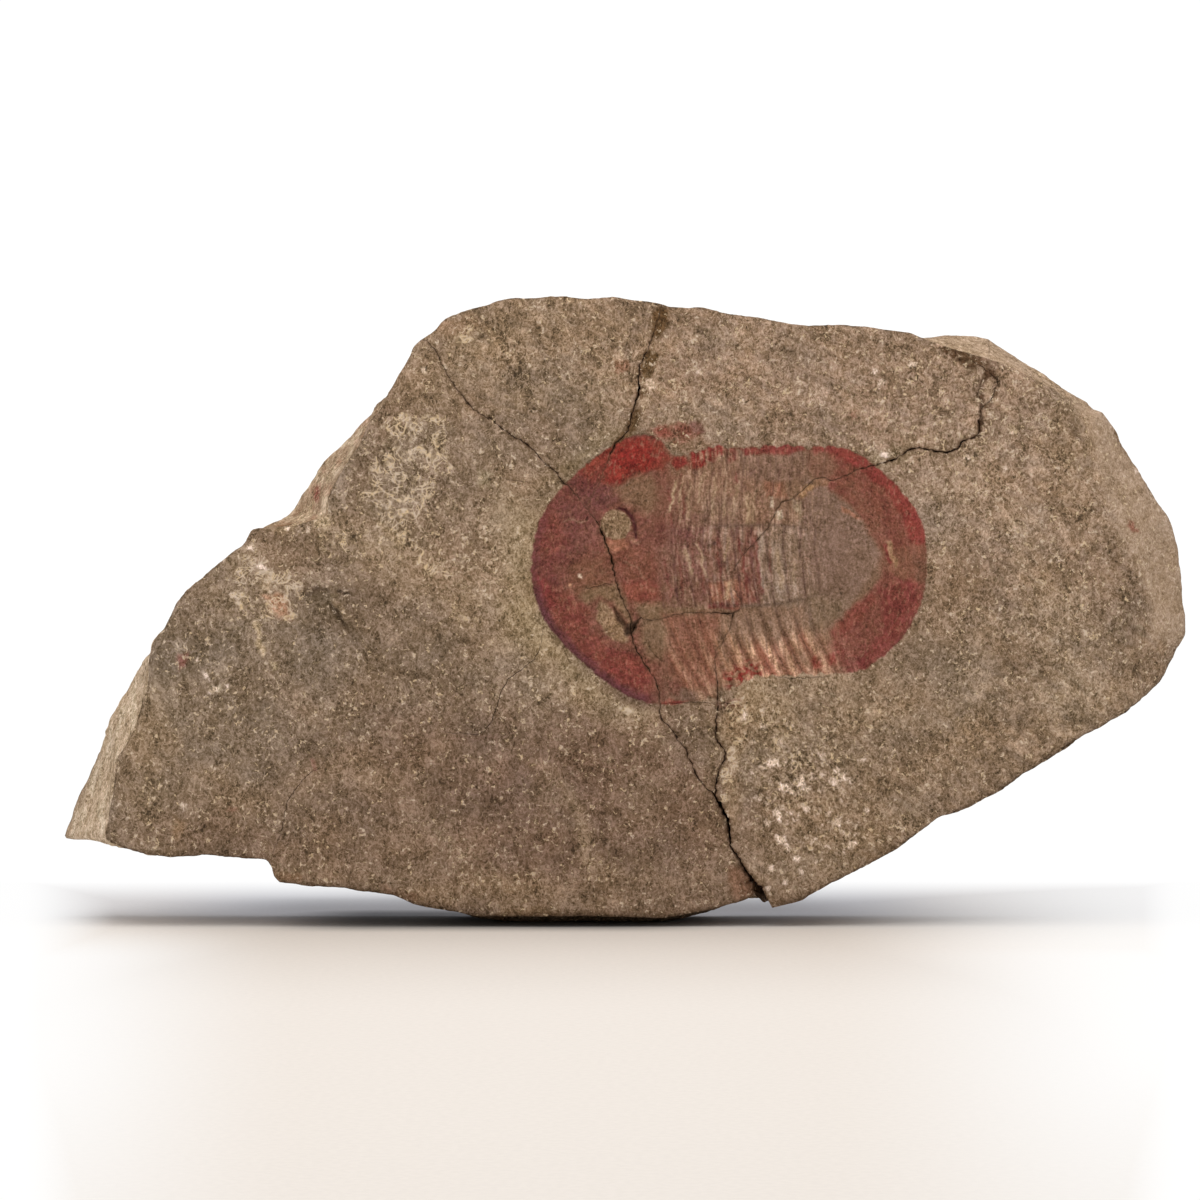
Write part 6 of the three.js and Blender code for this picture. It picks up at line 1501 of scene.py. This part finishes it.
    # dark grains are browner and light ones greyer
    hue = t.nodes.new("ShaderNodeMix")
    hue.data_type = "RGBA"
    hue.blend_type = "MULTIPLY"
    hue.inputs[0].default_value = 1.0
    link(t, col, hue.inputs[6])
    tone = t.nodes.new("ShaderNodeValToRGB")
    e = tone.color_ramp.elements
    e[0].position, e[0].color = 0.25, (1.05, 0.985, 0.80, 1)
    e[1].position, e[1].color = 0.75, (0.97, 1.0, 1.05, 1)
    link(t, math_node(t, "ADD", 0.5, math_node(t, "ADD", math_node(t, "MULTIPLY", total, 0.55), math_node(t, "MULTIPLY", broad_c, 0.3))), tone.inputs["Fac"])
    link(t, tone.outputs["Color"], hue.inputs[7])
    level = t.nodes.new("ShaderNodeVectorMath")
    level.operation = "SCALE"
    link(t, hue.outputs[2], level.inputs[0])
    level.inputs["Scale"].default_value = offset
    link(t, level.outputs[0], bsdf.inputs["Base Color"])
    rough = math_node(t, "ADD", 0.90, math_node(t, "MULTIPLY", grain_c, 0.25))
    rough = math_node(t, "SUBTRACT", rough, math_node(t, "MULTIPLY", shell, 0.13), True)
    link(t, rough, bsdf.inputs["Roughness"])
    # relief too fine for the mesh
    height = math_node(t, "ADD", math_node(t, "MULTIPLY", worm, 0.7), math_node(t, "MULTIPLY", grain, 0.4))
    height = math_node(t, "ADD", height, math_node(t, "MULTIPLY", ridge(thread, 0.075, 1.0), 0.30))
    height = math_node(t, "SUBTRACT", height, curve(pit, 0.60, 0.74, 0.0, 0.35))
    height = math_node(t, "MULTIPLY", height, calm)
    bump = t.nodes.new("ShaderNodeBump")
    bump.inputs["Strength"].default_value = 0.55
    bump.inputs["Distance"].default_value = 0.0003
    link(t, height, bump.inputs["Height"])
    link(t, bump.outputs[0], bsdf.inputs["Normal"])
    return mat


GAIN = 1.0
SLOTS = {"left_slab": "shale_left", "top_wedge": "shale_top", "top_right": "shale_fossil", "small_wedge": "shale_small", "right_slab": "shale_right"}
GRIDS = {"left_slab": (0.45, 0.95, 0.25), "top_wedge": (0.27, 0.8, None), "top_right": (0.29, 0.8, 0.24), "small_wedge": (0.21, 0.6, None), "right_slab": (0.38, 0.95, 0.24)}
for order, name in enumerate(SLOTS):
    part = fragment(name, GRIDS[name][0], GRIDS[name][1], GRIDS[name][2], order + 1)
    col, mark, crust = colours(part)
    me = bpy.data.meshes.new(name + "_stone")
    xyz, faces = part["xyz"] * 0.001, part["faces"].astype(np.int32)
    me.vertices.add(len(xyz))
    me.vertices.foreach_set("co", xyz.astype(np.float32).ravel())
    me.loops.add(len(faces) * 3)
    me.loops.foreach_set("vertex_index", faces.ravel())
    me.polygons.add(len(faces))
    me.polygons.foreach_set("loop_start", np.arange(0, len(faces) * 3, 3, dtype=np.int32))
    me.polygons.foreach_set("use_smooth", np.ones(len(faces), bool))
    for attr, data, last in (("tint", col, np.ones(len(col))), ("marks", mark, crust)):
        a = me.attributes.new(attr, "FLOAT_COLOR", "POINT")
        a.data.foreach_set("color", np.concatenate([data, last[:, None]], 1).astype(np.float32).ravel())
    me.update(calc_edges=True)
    me.validate(verbose=False)
    me.set_sharp_from_angle(angle=math.radians(62))
    ob = bpy.data.objects.new(name + "_stone", me)
    bpy.context.scene.collection.objects.link(ob)
    me.materials.append(stone_material(SLOTS[name], GAIN))
    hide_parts(name)
    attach(ob, "root")

# ---------------------------------------------------------------- floor, light, camera
floor_mesh = bpy.data.meshes.new("floor")
R = 3.0
floor_mesh.from_pydata([(-R, -R, 0), (R, -R, 0), (R, R, 0), (-R, R, 0)], [], [(0, 1, 2, 3)])
floor = bpy.data.objects.new("floor", floor_mesh)
floor.location.z = -0.00005
bpy.context.scene.collection.objects.link(floor)
fm = bpy.data.materials.new("studio_floor")
fm.use_nodes = True
t = fm.node_tree
t.nodes.clear()
out = t.nodes.new("ShaderNodeOutputMaterial")
diff = t.nodes.new("ShaderNodeBsdfDiffuse")
emit = t.nodes.new("ShaderNodeEmission")
emit.inputs["Color"].default_value = (1, 1, 1, 1)
emit.inputs["Strength"].default_value = 1.03
mixs = t.nodes.new("ShaderNodeMixShader")
coords = t.nodes.new("ShaderNodeTexCoord").outputs["Object"]
place = t.nodes.new("ShaderNodeSeparateXYZ")
link(t, coords, place.inputs[0])


def span(src, lo, hi, a=0.0, b=1.0):
    n = t.nodes.new("ShaderNodeMapRange")
    n.interpolation_type = "SMOOTHSTEP"
    for key, val in (("From Min", lo), ("From Max", hi), ("To Min", a), ("To Max", b)):
        n.inputs[key].default_value = val
    link(t, src, n.inputs["Value"])
    return n.outputs[0]


# painted light: the sheet's colour is painted brighter to the sides and in front; to the sides, far off and behind it
# fades into a painted plain white glow
sideways = span(math_node(t, "ABSOLUTE", math_node(t, "ADD", place.outputs["X"], 0.014)), 0.05, 0.105)
ahead = span(place.outputs["Y"], -0.03, -0.16, 0.0, 0.62)
painted_brightness = math_node(t, "MAXIMUM", sideways, ahead)
sheet = t.nodes.new("ShaderNodeMix")
sheet.data_type = "RGBA"
link(t, painted_brightness, sheet.inputs[0])
sheet.inputs[6].default_value = (*rgb(221, 213, 205), 1)
sheet.inputs[7].default_value = (*rgb(243, 237, 231), 1)
# painted shadow: behind the slab, where its shadow falls, the sheet is painted a little bluer
cool = t.nodes.new("ShaderNodeMix")
cool.data_type = "RGBA"
link(t, math_node(t, "MULTIPLY", span(place.outputs["Y"], -0.02, 0.02), span(painted_brightness, 0.0, 1.0, 1.0, 0.6)), cool.inputs[0])
link(t, sheet.outputs[2], cool.inputs[6])
cool.inputs[7].default_value = (*rgb(206, 208, 216), 1)
speckle = noise(t, coords, 900, 2, 0.5)
# painted shadow: right under the slab the sheet is painted darker, as contact shade
painted_contact_shade = math_node(t, "MULTIPLY", span(math_node(t, "ABSOLUTE", math_node(t, "ADD", place.outputs["X"], 0.026)), 0.024, 0.05, 0.62, 0.0), span(math_node(t, "ABSOLUTE", math_node(t, "ADD", place.outputs["Y"], -0.005)), 0.012, 0.03, 1.0, 0.0))
painted_contact_shade = math_node(t, "MAXIMUM", painted_contact_shade, math_node(t, "MULTIPLY", span(math_node(t, "ABSOLUTE", math_node(t, "ADD", place.outputs["X"], 0.018)), 0.046, 0.072, 0.2, 0.0), span(math_node(t, "ABSOLUTE", math_node(t, "ADD", place.outputs["Y"], -0.04)), 0.009, 0.027, 1.0, 0.0)))
fine_tone = t.nodes.new("ShaderNodeVectorMath")
fine_tone.operation = "SCALE"
link(t, cool.outputs[2], fine_tone.inputs[0])
link(t, math_node(t, "SUBTRACT", span(speckle, 0.3, 0.7, 0.985, 1.015), painted_contact_shade), fine_tone.inputs["Scale"])
link(t, fine_tone.outputs[0], diff.inputs["Color"])
# painted glow: the sheet glows plain white to the sides, far off and behind the slab, standing in for a brightly lit
# sheet
fan = math_node(t, "DIVIDE", math_node(t, "ADD", place.outputs["X"], 0.004), math_node(t, "MAXIMUM", math_node(t, "ADD", place.outputs["Y"], 0.712), 0.05))
wings = math_node(t, "MAXIMUM", span(math_node(t, "MULTIPLY", fan, -1.0), 0.085, 0.17), span(fan, 0.06, 0.165))
wings = math_node(t, "MULTIPLY", wings, span(place.outputs["Y"], -0.38, -0.20, 0.4, 0.85))
wings = math_node(t, "MULTIPLY", wings, math_node(t, "MAXIMUM", span(place.outputs["Y"], -0.005, -0.075, 0.1, 1.0), span(fan, 0.0, 0.02, 0.0, 0.8)))
wings = math_node(t, "MAXIMUM", wings, span(math_node(t, "ABSOLUTE", fan), 0.135, 0.168, 0.0, 0.9))
afar = math_node(t, "ADD", math_node(t, "POWER", place.outputs["X"], 2.0), math_node(t, "POWER", place.outputs["Y"], 2.0))
glow = math_node(t, "MAXIMUM", math_node(t, "MAXIMUM", span(place.outputs["Y"], 0.035, 0.115), wings), span(afar, 0.2, 0.6))
link(t, glow, mixs.inputs[0])
link(t, diff.outputs[0], mixs.inputs[1])
link(t, emit.outputs[0], mixs.inputs[2])
link(t, mixs.outputs[0], out.inputs["Surface"])
floor_mesh.materials.append(fm)

scene = bpy.context.scene
scene.view_settings.view_transform = "Standard"
scene.view_settings.look = "None"
scene.view_settings.exposure = 0
scene.view_settings.gamma = 1
world = bpy.data.worlds.new("studio")
scene.world = world
world.use_nodes = True
t = world.node_tree
t.nodes.clear()
out = t.nodes.new("ShaderNodeOutputWorld")
seen = t.nodes.new("ShaderNodeBackground")
seen.inputs["Color"].default_value = (1, 1, 1, 1)
seen.inputs["Strength"].default_value = 1.05
lit = t.nodes.new("ShaderNodeBackground")
lit.inputs["Color"].default_value = (1.0, 0.99, 0.98, 1)
lit.inputs["Strength"].default_value = 0.40
path = t.nodes.new("ShaderNodeLightPath")
mixs = t.nodes.new("ShaderNodeMixShader")
link(t, path.outputs["Is Camera Ray"], mixs.inputs[0])
link(t, lit.outputs[0], mixs.inputs[1])
link(t, seen.outputs[0], mixs.inputs[2])
link(t, mixs.outputs[0], out.inputs["Surface"])


def area(name, place, target, size, power, colour=(1, 1, 1)):
    light = bpy.data.lights.new(name, "AREA")
    light.shape = "RECTANGLE"
    light.size, light.size_y = size
    light.energy = power
    light.color = colour
    ob = bpy.data.objects.new(name, light)
    ob.location = place
    ob.rotation_euler = (Vector(target) - Vector(place)).to_track_quat("-Z", "Y").to_euler()
    scene.collection.objects.link(ob)
    return ob


area("top_light", (0.05, -0.12, 0.75), (0.0, 0.0, 0.04), (1.1, 0.7), 5.0, (1.0, 0.985, 0.965))
area("front_fill", (-0.35, -1.0, 0.55), (0.0, 0.0, 0.06), (1.2, 0.8), 2.6, (1.0, 0.99, 0.98))

cam = bpy.data.cameras.new("camera")
cam.lens = 103.70
cam.sensor_width = 36.0
cam.sensor_fit = "HORIZONTAL"
cam.clip_start = 0.05
cam.clip_end = 20
cam_ob = bpy.data.objects.new("camera", cam)
cam_ob.location = (-0.004006, -0.712076, 0.0662175)
cam_ob.rotation_euler = (math.radians(90), 0, 0)
scene.collection.objects.link(cam_ob)
scene.camera = cam_ob
